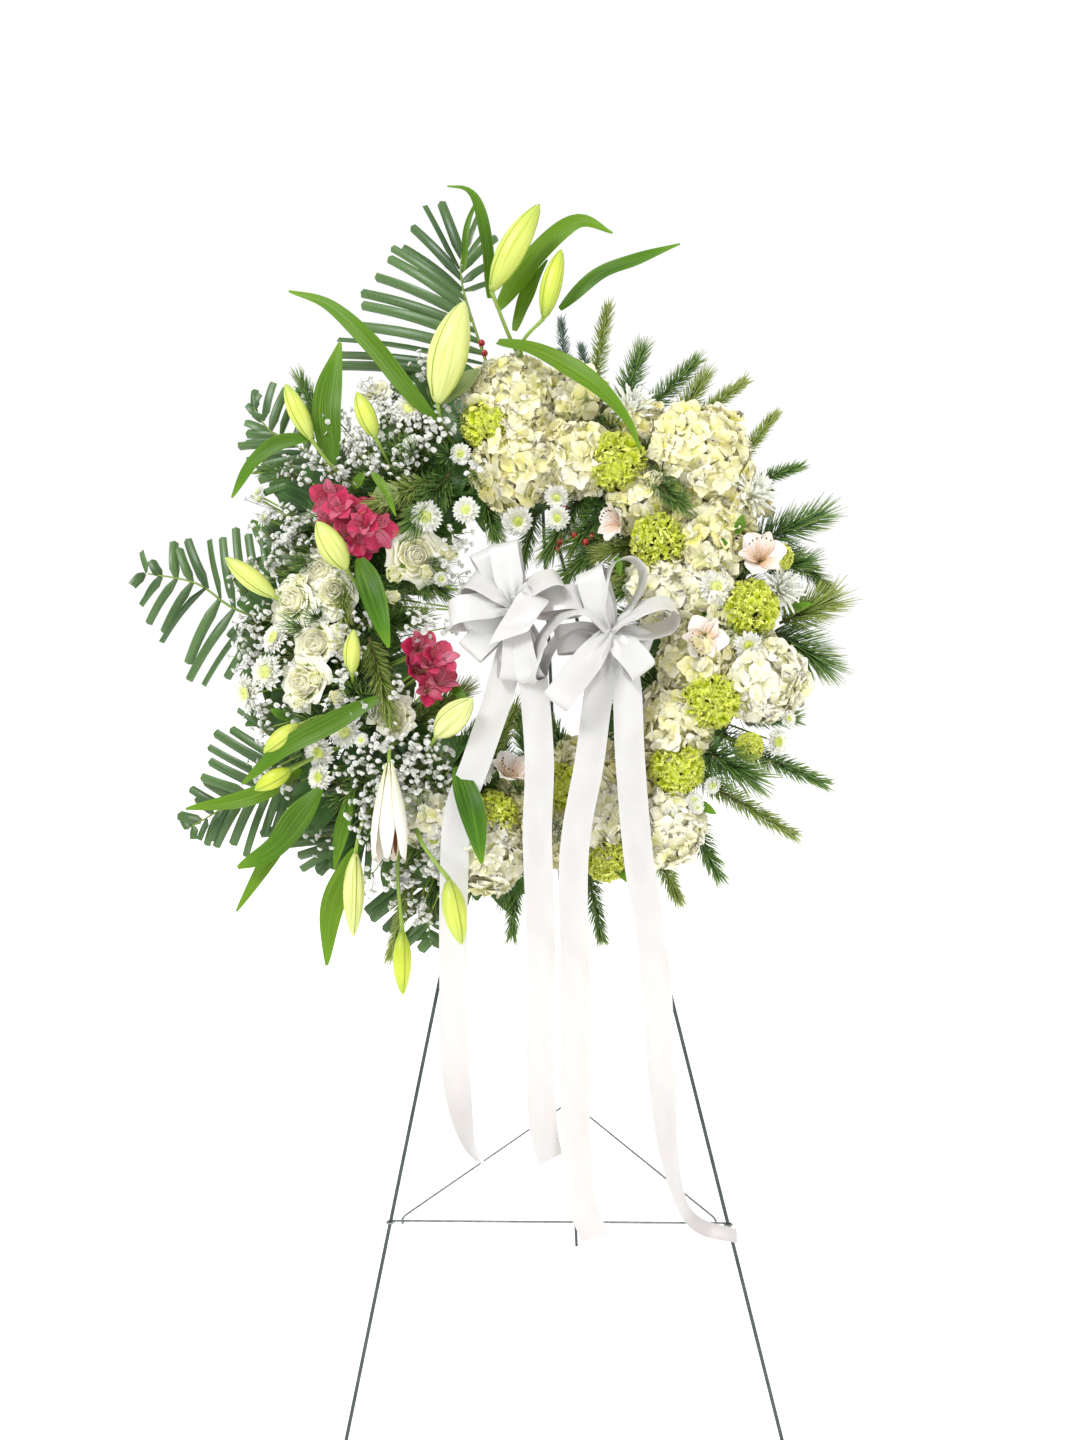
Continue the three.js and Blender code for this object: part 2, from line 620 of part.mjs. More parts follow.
const lilies = [
  lily('lily_top', [[-42, 300, 80], [-42, 355, 106], [-32, 420, 126]], [
    [[-30, 425, 130], [35, 525, 150], 19], [[35, 390, 120], [60, 475, 130], 15],
    [[-100, 280, 135], [-60, 395, 165], 27],
  ], [
    [22, [[-35, 440, 116], [-35, 490, 120], [-45, 545, 125], [-85, 575, 120]]],
    [36, [[-25, 415, 100], [25, 480, 105], [80, 520, 110], [125, 500, 115]]],
    [24, [[55, 410, 100], [105, 450, 105], [155, 465, 110], [210, 480, 115]]],
    [30, [[-105, 265, 110], [-140, 305, 120], [-185, 365, 125], [-240, 420, 125], [-295, 445, 120]]],
    [34, [[-25, 365, 110], [30, 335, 140], [95, 285, 155], [135, 235, 160], [150, 200, 155]]],
  ]),
  lily('lily_upper_left', [[-222, 190, 75], [-250, 225, 105]], [
    [[-265, 245, 120], [-295, 315, 135], 13], [[-180, 240, 130], [-200, 295, 145], 13],
  ], [
    [44, [[-245, 225, 95], [-245, 295, 105], [-230, 375, 110]]],
    [24, [[-270, 250, 115], [-310, 235, 125], [-340, 215, 125], [-370, 175, 115]]],
  ]),
  lily('lily_left', [[-232, 55, 80], [-228, 62, 130]], [
    [[-315, 45, 110], [-375, 95, 125], 14], [[-215, 70, 140], [-245, 125, 165], 18],
    [[-210, -60, 135], [-200, -10, 150], 10],
  ], [[38, [[-200, 85, 130], [-180, 35, 145], [-160, -30, 150]]]]),
  lily('lily_lower_left', [[-240, -140, 80], [-268, -152, 108]], [
    [[-280, -120, 120], [-320, -155, 130], 14], [[-290, -175, 120], [-330, -200, 130], 13],
  ], [
    [30, [[-235, -120, 130], [-295, -150, 130], [-350, -190, 120]]],
    [44, [[-270, -200, 110], [-290, -235, 115], [-320, -270, 115], [-360, -295, 105]]],
    [26, [[-275, -210, 95], [-325, -285, 95], [-370, -350, 85]]],
    [26, [[-285, -175, 90], [-350, -205, 90], [-440, -220, 80]]],
  ]),
  lily('lily_bottom', [[-140, -190, 80], [-150, -225, 115]], [
    [[-165, -170, 140], [-160, -285, 150], 18], [[-215, -280, 100], [-215, -380, 100], 14],
    [[-155, -375, 105], [-155, -450, 105], 13], [[-90, -310, 150], [-75, -385, 150], 16],
    [[-105, -140, 140], [-55, -100, 175], 17],
  ], [
    [34, [[-215, -275, 95], [-240, -345, 100], [-250, -415, 95]]],
    [38, [[-80, -180, 140], [-60, -235, 150], [-50, -290, 150]]],
  ]),
];

const carnations = [
  ['carnation_top', [-40, 265, 132], 33, [-0.1, 0.2]],
  ['carnation_upper_right', [125, 205, 132], 36, [0.1, 0.1]],
  ['carnation_inner_right', [170, 100, 132], 32, [0, 0]],
  ['carnation_right', [285, 10, 132], 34, [0.2, 0]],
  ['carnation_lower_right', [230, -105, 136], 34, [0.1, -0.1]],
  ['carnation_low_right', [185, -185, 132], 32, [0, -0.1]],
  ['carnation_bottom', [-45, -240, 128], 30, [-0.1, -0.2]],
  ['carnation_inner_bottom', [45, -200, 118], 29, [0, 0.1]],
].map(([name, place, radius, tilt]) => head(name, LIME, place, carnationProfile(radius), 9, tilt));

const sprays = [
  spray('alstroemeria_pink_upper', PINK, [-205, 140, 85], [
    [-240, 165, 128, 28], [-210, 140, 136, 28], [-175, 120, 132, 28],
  ], trumpetProfile, 7),
  spray('alstroemeria_pink_lower', PINK, [-165, -50, 85], [
    [-125, -30, 132, 25], [-95, -40, 138, 25], [-100, -72, 130, 25],
  ], trumpetProfile, 7),
  spray('alstroemeria_white', WHITE, [265, 85, 85], [[298, 78, 126, 32], [262, 52, 122, 22]], trumpetProfile, 7),
  spray('spray_rose_left', ROSE, [-258, 0, 84], [
    [-295, 40, 124, 25], [-240, 50, 122, 25], [-265, -15, 122, 24], [-282, -65, 120, 25],
  ], roseProfile, 8),
  spray('spray_rose_inner', ROSE, [-165, 95, 75], [[-135, 95, 118, 28], [-165, 72, 116, 13]], roseProfile, 8),
  spray('daisy_left', WHITE, [-300, -40, 75], [
    [-320, -5, 108, 20], [-332, -50, 108, 22], [-360, -78, 98, 22],
  ], daisyProfile, 8),
  spray('daisy_lower_left', WHITE, [-235, -150, 80], [
    [-260, -155, 116, 20], [-262, -190, 112, 17], [-225, -130, 118, 19],
  ], daisyProfile, 8),
  spray('gypsophila', WHITE, [-180, -165, 70], [
    [-200, -160, 115, 12], [-175, -140, 120, 12], [-150, -165, 118, 12], [-190, -190, 116, 12],
    [-215, -205, 105, 12], [-170, -215, 118, 12], [-140, -195, 112, 12], [-125, -225, 110, 12],
  ], crumbProfile, 6),
];

const mums = [
  head('spider_mum_top', WHITE, [145, 280, 118], mumProfile(33), 9, [0.1, 0.2]),
  head('spider_mum_right', WHITE, [295, 160, 122], mumProfile(37), 9, [0.2, 0.1]),
];

const hydrangeas = [
  hydrangea('hydrangea_top', [[-10, 300, 90, 57]]),
  hydrangea('hydrangea_inner_top', [[-10, 208, 90, 54]]),
  hydrangea('hydrangea_upper_right', [[75, 215, 88, 46], [70, 300, 82, 38]]),
  hydrangea('hydrangea_right_top', [[230, 215, 92, 66]]),
  hydrangea('hydrangea_inner_right', [[235, 100, 88, 50], [155, 155, 85, 42]]),
  hydrangea('hydrangea_right', [[225, 20, 86, 46], [175, 40, 86, 46]]),
  hydrangea('hydrangea_far_right', [[295, -75, 88, 54]]),
  hydrangea('hydrangea_lower_right', [[215, -50, 88, 48], [180, -130, 88, 50]]),
  hydrangea('hydrangea_bottom_right', [[166, -258, 88, 50], [92, -243, 85, 42]]),
  hydrangea('hydrangea_bottom', [[-55, -282, 88, 54], [-120, -240, 84, 38]]),
];

const palms = [
  palm('palm_top', [[-30, 300, 68], [-65, 400, 58], [-85, 480, 52], [-66, 590, 46]], 7, [120, 90]),
  palm('palm_upper_left', [[-240, 210, 68], [-300, 262, 54], [-340, 300, 46], [-358, 345, 42]], 5, [90, 70]),
  palm('palm_left', [[-280, 2, 68], [-380, 40, 58], [-440, 75, 54], [-505, 98, 46]], 7, [90, 95]),
  palm('palm_lower_left', [[-250, -145, 68], [-325, -180, 57], [-385, -210, 50], [-440, -238, 42]], 6, [105, 115]),
  palm('palm_bottom', [[-148, -245, 68], [-142, -305, 56], [-130, -395, 46]], 5, [70, 60]),
];

const pines = [
  pine('pine_top', [90, 285, 68], [
    [[90, 305, 60], [115, 430, 60]], [[62, 325, 52], [55, 425, 46]], [[130, 290, 60], [160, 370, 60]],
  ]),
  pine('pine_upper_right', [215, 225, 68], [
    [[165, 275, 60], [225, 350, 60]], [[222, 265, 60], [285, 315, 70]], [[275, 215, 60], [325, 270, 70]],
  ]),
  pine('pine_right', [275, 70, 68], [
    [[295, 175, 56], [355, 205, 60]], [[300, 110, 60], [375, 135, 65]], [[330, 80, 56], [395, 40, 50]],
    [[330, 5, 60], [410, 30, 60]], [[310, -15, 60], [385, -50, 60]],
  ]),
  pine('pine_lower_right', [220, -170, 68], [[[255, -160, 66], [360, -200, 70]], [[225, -200, 65], [320, -260, 65]]]),
  pine('pine_bottom_right', [140, -250, 68], [
    [[190, -225, 64], [230, -305, 60]], [[155, -275, 64], [180, -335, 60]], [[75, -300, 60], [85, -380, 60]],
  ]),
  pine('pine_bottom', [-75, -265, 68], [[[-22, -290, 60], [-25, -375, 60]], [[-140, -272, 60], [-180, -400, 60]]]),
  pine('pine_left', [-245, 215, 68], [[[-262, 272, 52], [-300, 360, 50]], [[-300, 215, 58], [-350, 235, 50]]]),
];

// ---------------------------------------------------------------- putting it together

const root = new THREE.Group();
root.add(frontLeg(-1), frontLeg(1), rearLeg(), hingePin(), frontCrossbar(), rearBrace());

const hook = topHook();
root.add(named('top_hook', hook, EASEL_WIRE));

const wreath = new THREE.Group();
wreath.rotation.x = Math.PI / 2 - LEAN;
wreath.position.copy(frontLegPoint(0, RING_UP_LEGS)).setX(RING_LEFT);
wreath.updateMatrixWorld();
root.add(wreath);

// The hook again, in the wreath's frame and a little larger, to cut what lies round it.
const hookCutter = (() => {
  const at = (forward, half) => {
    const box = new THREE.BoxGeometry(2 * half, 12, forward[1] - forward[0]);
    box.translate(-RING_LEFT, RING_INNER - 4, (forward[0] + forward[1]) / 2);
    return solid(box);
  };
  const upturn = new THREE.BoxGeometry(26, 24, 10);
  upturn.translate(-RING_LEFT, RING_INNER + 8, 73);
  return union([at([8, 78], 13), solid(upturn)]);
})();

const arrangement = [...lilies, ...carnations, ...mums, ...sprays, ...hydrangeas, ...pines, ...palms];
const base = turnedRing(BASE_PROFILE);
const wholeFoam = turnedRing(FOAM_PROFILE, CLEARANCE);
const tray = turnedRing(BASE_PROFILE, CLEARANCE);

wreath.add(named('ring_base', base, TRAY));

// Ribbons lie on top of all the flowers, each cut clear of those before it.
const cutters = [hookCutter, tray];
for (const { name, material, shape } of ribbons) {
  wreath.add(named(name, carve(shape(0), cutters), material, SOFT_DETAIL));
  cutters.push(shape(CLEARANCE));
}

// Stems first, then what grows on them, so that no flower is cut off its stem.
const cores = [];
for (const piece of arrangement) {
  piece.stem = carve(piece.core(0), [...cutters, ...cores]);
  piece.stemCutter = piece.core(CLEARANCE);
  cores.push(piece.stemCutter);
}
wreath.add(named('foam_ring', carve(turnedRing(FOAM_PROFILE), cores), FOAM, SOFT_DETAIL));

const grown = [...cutters, wholeFoam];
for (const piece of arrangement) {
  const others = cores.filter((core) => core !== piece.stemCutter);
  const blooms = carve(piece.body(0), [...grown, ...others]);
  wreath.add(named(piece.name, piece.stem.add(blooms), piece.material, SOFT_DETAIL));
  grown.push(piece.body(CLEARANCE));
}

// The origin is the middle of the bottom of the whole object's box.
root.updateMatrixWorld();
const extent = new THREE.Box3().setFromObject(root, true);
root.position.set(-(extent.min.x + extent.max.x) / 2, -(extent.min.y + extent.max.y) / 2, -extent.min.z);

export default root;
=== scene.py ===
# %% [markdown]
# A standing funeral wreath: a ring of wet floral foam wired to a folding
# wire easel and packed with cut flowers, pine, palm and satin ribbon.
# The CAD model gives the places and sizes. This file dresses it: every
# soft solid is replaced by petals, needles, leaves and cloth that are
# worked out with numpy, and the wires get a better surface.

import math

import bpy
import numpy as np
from mathutils import Matrix, Vector


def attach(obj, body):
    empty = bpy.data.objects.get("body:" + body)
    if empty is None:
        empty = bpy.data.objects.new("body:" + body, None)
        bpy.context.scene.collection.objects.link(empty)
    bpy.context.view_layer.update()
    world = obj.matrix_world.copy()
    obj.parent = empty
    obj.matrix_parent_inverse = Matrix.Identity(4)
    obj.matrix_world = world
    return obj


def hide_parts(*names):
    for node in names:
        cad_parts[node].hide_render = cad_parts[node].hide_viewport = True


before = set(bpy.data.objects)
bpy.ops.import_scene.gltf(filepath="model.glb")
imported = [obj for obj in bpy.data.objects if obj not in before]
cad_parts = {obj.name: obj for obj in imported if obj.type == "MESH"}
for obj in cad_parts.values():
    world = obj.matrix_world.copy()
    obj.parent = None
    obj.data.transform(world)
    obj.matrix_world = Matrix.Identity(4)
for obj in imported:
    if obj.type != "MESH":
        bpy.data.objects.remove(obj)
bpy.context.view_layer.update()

# %% [markdown]
# The wreath leans back with the easel's front legs, so its flowers are
# easiest to place in its own millimetres: across, up along the legs, and
# out towards the mourners, all counted from the middle of the ring.

# %% The wreath's own axes
MM = 0.001
LEAN = math.radians(11.0634)
RING_CENTRE = np.array([0.07726, -0.01790, 1.01969])
WREATH_AXES = np.array([
    [1.0, 0.0, 0.0],
    [0.0, math.sin(LEAN), math.cos(LEAN)],
    [0.0, -math.cos(LEAN), math.sin(LEAN)],
])
RING_MIDDLE = 247.0
FOAM_FRONT = 62.0
GOLDEN_ANGLE = math.pi * (3.0 - math.sqrt(5.0))


def placed(points):
    """Wreath millimetres to metres in the row: the ring's centre plus each number along its own axis."""
    return RING_CENTRE + (points * MM) @ WREATH_AXES


# %% [markdown]
# Nearly everything in a wreath is a thin blade or a round stem. Both are
# a stack of closed rings, so one function skins them all: each ring is
# joined to the next by quads, and one face closes each end. Nothing is
# left open, so every petal has a front, a back and a true thickness.

# %% Closed skins
def unit(vectors):
    """Each vector divided by its own length."""
    return vectors / np.maximum(np.linalg.norm(vectors, axis=-1, keepdims=True), 1e-9)


def skin(rings, finish, chance=0.0, tone=0.0, across=None, along=None, blade=False):
    """Joins rings, an array of items x rows x around x 3, into one closed tube for each item."""
    items, rows, ringed = rings.shape[:3]
    corner = np.arange(items * rows * ringed).reshape(items, rows, ringed)
    ahead = np.roll(corner, -1, axis=2)
    quads = np.stack([corner[:, :-1], ahead[:, :-1], ahead[:, 1:], corner[:, 1:]], -1)
    caps = np.concatenate([corner[:, 0, ::-1], corner[:, -1]])
    if across is None:
        across = np.linspace(-1.0, 1.0, ringed)[None, None, :]
    if along is None:
        along = np.linspace(0.0, 1.0, rows)[None, :, None]

    def spread(value):
        value = np.asarray(value, dtype=float)
        value = value[:, None, None] if value.ndim == 1 else value
        return np.broadcast_to(value, (items, rows, ringed)).ravel()

    rim = np.zeros((items, rows, ringed), dtype=bool)
    if blade:
        rim[:, :, [0, ringed // 2]] = True
        rim[:, [0, -1], :] = True
    return {
        "points": rings.reshape(-1, 3), "quads": quads.reshape(-1, 4), "caps": caps,
        "place": np.stack([spread(across), spread(along), spread(chance)], -1),
        "tone": spread(tone), "rim": rim.ravel(), "finish": finish,
    }


def pillow(front, thickness):
    """Closes a blade: its back is the front moved inwards along its normal, and both share the rim."""
    normal = unit(np.cross(np.gradient(front, axis=2), np.gradient(front, axis=1)))
    back = (front - thickness * normal)[:, :, -2:0:-1]
    return np.concatenate([front, back], axis=2)


def blade_skin(front, thickness, finish, chance=0.0, tone=0.0, along=None):
    """A closed blade with its across and along numbers, from its front surface."""
    t = np.linspace(-1.0, 1.0, front.shape[2])
    across = np.concatenate([t, t[-2:0:-1]])[None, None, :]
    if np.ndim(tone) == 3 and tone.shape[2] == front.shape[2]:
        tone = np.concatenate([tone, tone[:, :, -2:0:-1]], axis=2)
    return skin(pillow(front, thickness), finish, chance, tone, across, along, blade=True)


finishes = {}


def piece(name, parts, nodes=(), body="root"):
    """Puts several skins into one mesh at the origin, with its place in its points, and rides it on its body."""
    finish_names = list(dict.fromkeys(part["finish"] for part in parts))
    first = np.cumsum([0] + [len(part["points"]) for part in parts])
    corners, sizes, slots = [], [], []
    for start, part in zip(first, parts):
        for faces in (part["quads"], part["caps"]):
            corners.append((faces + start).ravel())
            sizes.append(np.full(len(faces), faces.shape[1]))
            slots.append(np.full(len(faces), finish_names.index(part["finish"])))
    corners, sizes, slots = (np.concatenate(a) for a in (corners, sizes, slots))
    mesh = bpy.data.meshes.new(name)
    mesh.vertices.add(first[-1])
    mesh.vertices.foreach_set("co", placed(np.concatenate([p["points"] for p in parts])).ravel())
    mesh.loops.add(len(corners))
    mesh.loops.foreach_set("vertex_index", corners)
    mesh.polygons.add(len(sizes))
    mesh.polygons.foreach_set("loop_start", np.cumsum(sizes) - sizes)
    mesh.polygons.foreach_set("material_index", slots)
    mesh.update(calc_edges=True)
    mesh.polygons.foreach_set("use_smooth", np.ones(len(sizes), dtype=bool))
    place = mesh.attributes.new("place", "FLOAT_VECTOR", "POINT")
    place.data.foreach_set("vector", np.concatenate([p["place"] for p in parts]).ravel())
    tone = mesh.attributes.new("tone", "FLOAT", "POINT")
    tone.data.foreach_set("value", np.concatenate([p["tone"] for p in parts]))
    rim = np.concatenate([p["rim"] for p in parts])
    ends = np.empty(2 * len(mesh.edges), dtype=np.int32)
    mesh.edges.foreach_get("vertices", ends)
    sharp = mesh.attributes.new("sharp_edge", "BOOLEAN", "EDGE")
    sharp.data.foreach_set("value", rim[ends].reshape(-1, 2).all(axis=1))
    for finish_name in finish_names:
        mesh.materials.append(finishes[finish_name])
    made = bpy.data.objects.new(name, mesh)
    bpy.context.scene.collection.objects.link(made)
    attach(made, body)
    if nodes:
        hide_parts(*nodes)
    print(f"{name}: {len(sizes)} faces")
    return made


# %% [markdown]
# Three shapes feed the skins. A path is a smooth line through a few
# points. A tube is a round section carried along a path, for stems and
# needles. A blade is a flat section carried along one, for leaves and
# ribbon, with a fold at its midrib.

# %% Paths, tubes and blades
def curve(points, count):
    """A smooth path through the points: Catmull-Rom cubics, stepped evenly along their length."""
    p = np.asarray(points, dtype=float)
    p_all = np.vstack([2 * p[0] - p[1], p, 2 * p[-1] - p[-2]])
    t = np.linspace(0, len(p) - 1, 8 * count)[:, None]
    i = np.minimum(t.astype(int), len(p) - 2)[:, 0]
    f = t - i[:, None]
    a, b, c, d = (p_all[i + n] for n in range(4))
    dense = b + 0.5 * f * (c - a + f * (2 * a - 5 * b + 4 * c - d + f * (3 * (b - c) + d - a)))
    run = np.r_[0.0, np.cumsum(np.linalg.norm(np.diff(dense, axis=0), axis=1))]
    steps = np.linspace(0.0, run[-1], count)
    return np.stack([np.interp(steps, run, dense[:, n]) for n in range(p.shape[1])], -1)


def path_length(path):
    """The sum of the steps along a path."""
    return float(np.linalg.norm(np.diff(path, axis=0), axis=1).sum())


def tubes(paths, radii, sides=6):
    """Circles carried along paths (items x rows x 3) with a radius at each row."""
    run = unit(np.gradient(paths, axis=1))
    whole = unit(paths[:, -1] - paths[:, 0])
    steep = np.abs(whole[:, 2:3]) > 0.75
    reference = np.where(steep, [[1.0, 0.0, 0.0]], [[0.0, 0.0, 1.0]])[:, None, :]
    one = unit(np.cross(reference, run))
    two = np.cross(run, one)
    turn = 2.0 * math.pi * np.arange(sides) / sides
    ring = one[:, :, None] * np.cos(turn)[:, None] + two[:, :, None] * np.sin(turn)[:, None]
    return paths[:, :, None] + ring * np.asarray(radii)[..., None, None]


def blades(paths, widths, facing, outline, fold=0.0, wave=0.0, waves=2.0, phase=0.0, columns=5):
    """Blades along paths: across = half width x outline(s) x t, and the margins rise by fold x |t| and ripple by wave."""
    run = unit(np.gradient(paths, axis=1))
    facing = np.broadcast_to(facing, paths.shape)
    normal = unit(facing - (facing * run).sum(-1, keepdims=True) * run)
    side = np.cross(run, normal)
    s = np.linspace(0.0, 1.0, paths.shape[1])[None, :, None]
    t = np.linspace(-1.0, 1.0, columns)[None, None, :]
    half = np.asarray(widths, dtype=float).reshape(-1, 1, 1) / 2.0 * outline(s)
    phase = np.asarray(phase, dtype=float).reshape(-1, 1, 1)
    lift = half * (fold * np.abs(t) + wave * t * np.sin(2 * math.pi * waves * s + phase))
    reach = half * t * np.sqrt(np.maximum(1.0 - fold * fold, 0.1))
    return paths[:, :, None] + side[:, :, None] * reach[..., None] + normal[:, :, None] * lift[..., None]


# %% [markdown]
# A petal grows from the middle of its flower: a midline that starts at a
# tilt and curls on its way, a width that follows an outline, a cup across
# it, and a ripple that grows towards its edge. Whole flowers, and all the
# flowers of one kind, are worked out at once.

# %% Petals and flowers
def column(value):
    """A number, or one number for each item, shaped to spread over rows and columns."""
    return np.asarray(value, dtype=float).reshape(-1, 1, 1)


def petals(length, width, outline, steps=(0.0, 0.35, 0.72, 1.0), columns=5, tilt=0.0, curl=0.0,
           cup=0.0, wave=0.0, waves=1.0, phase=0.0, blunt=0.25, teeth=0.0, late=1.0):
    """Petal fronts: y runs out along the midline, x across, z up. The midline's angle is tilt + curl x s to the power late."""
    length, width, tilt, curl = (column(v) for v in (length, width, tilt, curl))
    cup, wave, phase = (column(v) for v in (cup, wave, phase))
    s = np.asarray(steps, dtype=float)[None, :, None]
    t = np.linspace(-1.0, 1.0, columns)[None, None, :]
    slope = tilt + curl * s**late
    middle = (slope[:, 1:] + slope[:, :-1]) / 2.0
    step = length * np.diff(s, axis=1)
    start = np.zeros_like((step * middle)[:, :1])
    out = np.concatenate([start, np.cumsum(step * np.cos(middle), axis=1)], axis=1)
    up = np.concatenate([start, np.cumsum(step * np.sin(middle), axis=1)], axis=1)
    x = width / 2.0 * outline(s) * t
    pull = length * (teeth * s**4 * np.cos(math.pi * (columns - 1) * (t + 1) / 2) - blunt * s**3 * t**2)
    lift = width * (cup * t**2 * np.sin(math.pi * np.minimum(s + 0.15, 1.0) * 0.8)
                    + wave * s**2 * np.sin(2 * math.pi * waves * t + phase))
    y = out + pull * np.cos(slope) - lift * np.sin(slope)
    z = up + pull * np.sin(slope) + lift * np.cos(slope)
    return np.stack([x + 0 * y, y + 0 * x, z + 0 * x], -1)


def around(front, turn, out=0.0, up=0.0):
    """Turns petals about the flower's axis and starts them a little out from it and up it."""
    turn = column(turn)
    x, y, z = front[..., 0], front[..., 1] + column(out), front[..., 2] + column(up)
    return np.stack([x * np.sin(turn) + y * np.cos(turn), y * np.sin(turn) - x * np.cos(turn), z], -1)


def frames(facing, roll=0.0):
    """Right-handed axes for each item: the third is facing, and the other two are turned by roll."""
    facing = unit(np.asarray(facing, dtype=float))
    near_up = np.abs(facing[:, 1:2]) > 0.9
    reference = np.where(near_up, [[1.0, 0.0, 0.0]], [[0.0, 1.0, 0.0]])
    side = unit(np.cross(reference, facing))
    rise = np.cross(facing, side)
    roll = np.asarray(roll, dtype=float).reshape(-1, 1)
    first = side * np.cos(roll) + rise * np.sin(roll)
    return np.stack([first, np.cross(facing, first), facing], -1)


def carried(local, owner, places, axes):
    """Each item's points, in its owner's axes, carried to its owner's place."""
    turned = np.einsum("kij,kmnj->kmni", axes[owner], local)
    return places[owner][:, None, None] + turned


def looking(places, straight=0.8):
    """Flowers look away from the core of the ring, and partly straight out."""
    flat = places * [1.0, 1.0, 0.0]
    core = unit(flat) * RING_MIDDLE + [0.0, 0.0, 38.0]
    return unit(unit(places - core) + [0.0, 0.0, straight])


def dome(radius, height, drop, rows=7, sides=12):
    """Rings of a closed dome: its radius follows a sine from the pole down to drop below its middle."""
    angle = np.linspace(0.06, math.pi / 2 + drop, rows)[::-1]
    turn = 2.0 * math.pi * np.arange(sides) / sides
    radius, height = np.asarray(radius), np.asarray(height)
    x = np.sin(angle)[:, None] * np.cos(turn)
    y = np.sin(angle)[:, None] * np.sin(turn)
    z = np.cos(angle)[:, None] + 0 * turn
    return np.stack([radius[:, None, None] * x, radius[:, None, None] * y, height[:, None, None] * z], -1)


def scatter(low, high, count, seed):
    """Count seeded random numbers between low and high."""
    return np.random.default_rng(seed).uniform(low, high, count)


# %% [markdown]
# Outlines say how wide a petal or leaf is along its length, as a share of
# its full width.

# %% Outlines
def rounded(s):
    """A broad sepal: a raised sine, nearly half wide at both ends."""
    return np.sin(math.pi * (0.1 + 0.78 * s)) ** 0.7


def fan(s):
    """A carnation petal: a narrow claw that opens into a fan."""
    return 0.2 + 0.8 * s**1.4


def strap(s):
    """A ray petal: parallel sides and a blunt tip."""
    return (0.62 + 0.38 * np.sin(math.pi * s)) * np.where(s > 0.97, 0.6, 1.0)


def spoon(s):
    """A tepal: slim below and broadest two thirds of the way up."""
    return 0.16 + 0.84 * np.sin(math.pi * np.clip(s, 0, 1) ** 1.5 * 0.9) ** 0.8


def lance(s):
    """A lily leaf: widest before its middle, with a long point."""
    return 0.04 + 0.96 * np.sin(math.pi * (0.04 + 0.94 * s) ** 0.8) ** 0.85


def blade_of_palm(s):
    """A palm leaflet: narrow where it joins the rib, widest at a third, and cut straight across at its end."""
    return np.minimum(1.0, 0.4 + 2.4 * s) * (1.0 - 0.16 * s)


def even(s):
    """Ribbon: the same width all along."""
    return 1.0 + 0.0 * s


print("shape helpers ready")

# %% [markdown]
# Finishes. Petals and leaves are wet tissue: matt to waxy, a little
# translucent, coloured from base to tip, never quite the same from one to
# the next, and drawn with fine veins. One function adds a node with its
# settings and links, and one builds living tissue from its colours.

# %% Colour and nodes
def linear(hex_colour):
    """An sRGB hex colour as linear red, green, blue and a full alpha."""
    parts = [int(hex_colour[n:n + 2], 16) / 255.0 for n in (1, 3, 5)]
    return [c / 12.92 if c <= 0.04045 else ((c + 0.055) / 1.055) ** 2.4 for c in parts] + [1.0]


def add(tree, kind, inputs=None, stops=None, **settings):
    """Adds one node: settings are its properties, stops are its colours, inputs are values or sockets."""
    made = tree.nodes.new(kind)
    for key, value in settings.items():
        setattr(made, key, value)
    if stops:
        band = made.color_ramp.elements
        band[0].position, band[0].color = stops[0][0], linear(stops[0][1])
        band[-1].position, band[-1].color = stops[-1][0], linear(stops[-1][1])
        for position, colour in stops[1:-1]:
            band.new(position).color = linear(colour)
    for key, value in (inputs or {}).items():
        if isinstance(value, bpy.types.NodeSocket):
            tree.links.new(value, made.inputs[key])
        else:
            made.inputs[key].default_value = value
    return made


def started(name):
    """A new material with an empty node tree, kept under its name."""
    material = bpy.data.materials.new(name)
    material.use_nodes = True
    material.node_tree.nodes.clear()
    finishes[name] = material
    return material.node_tree


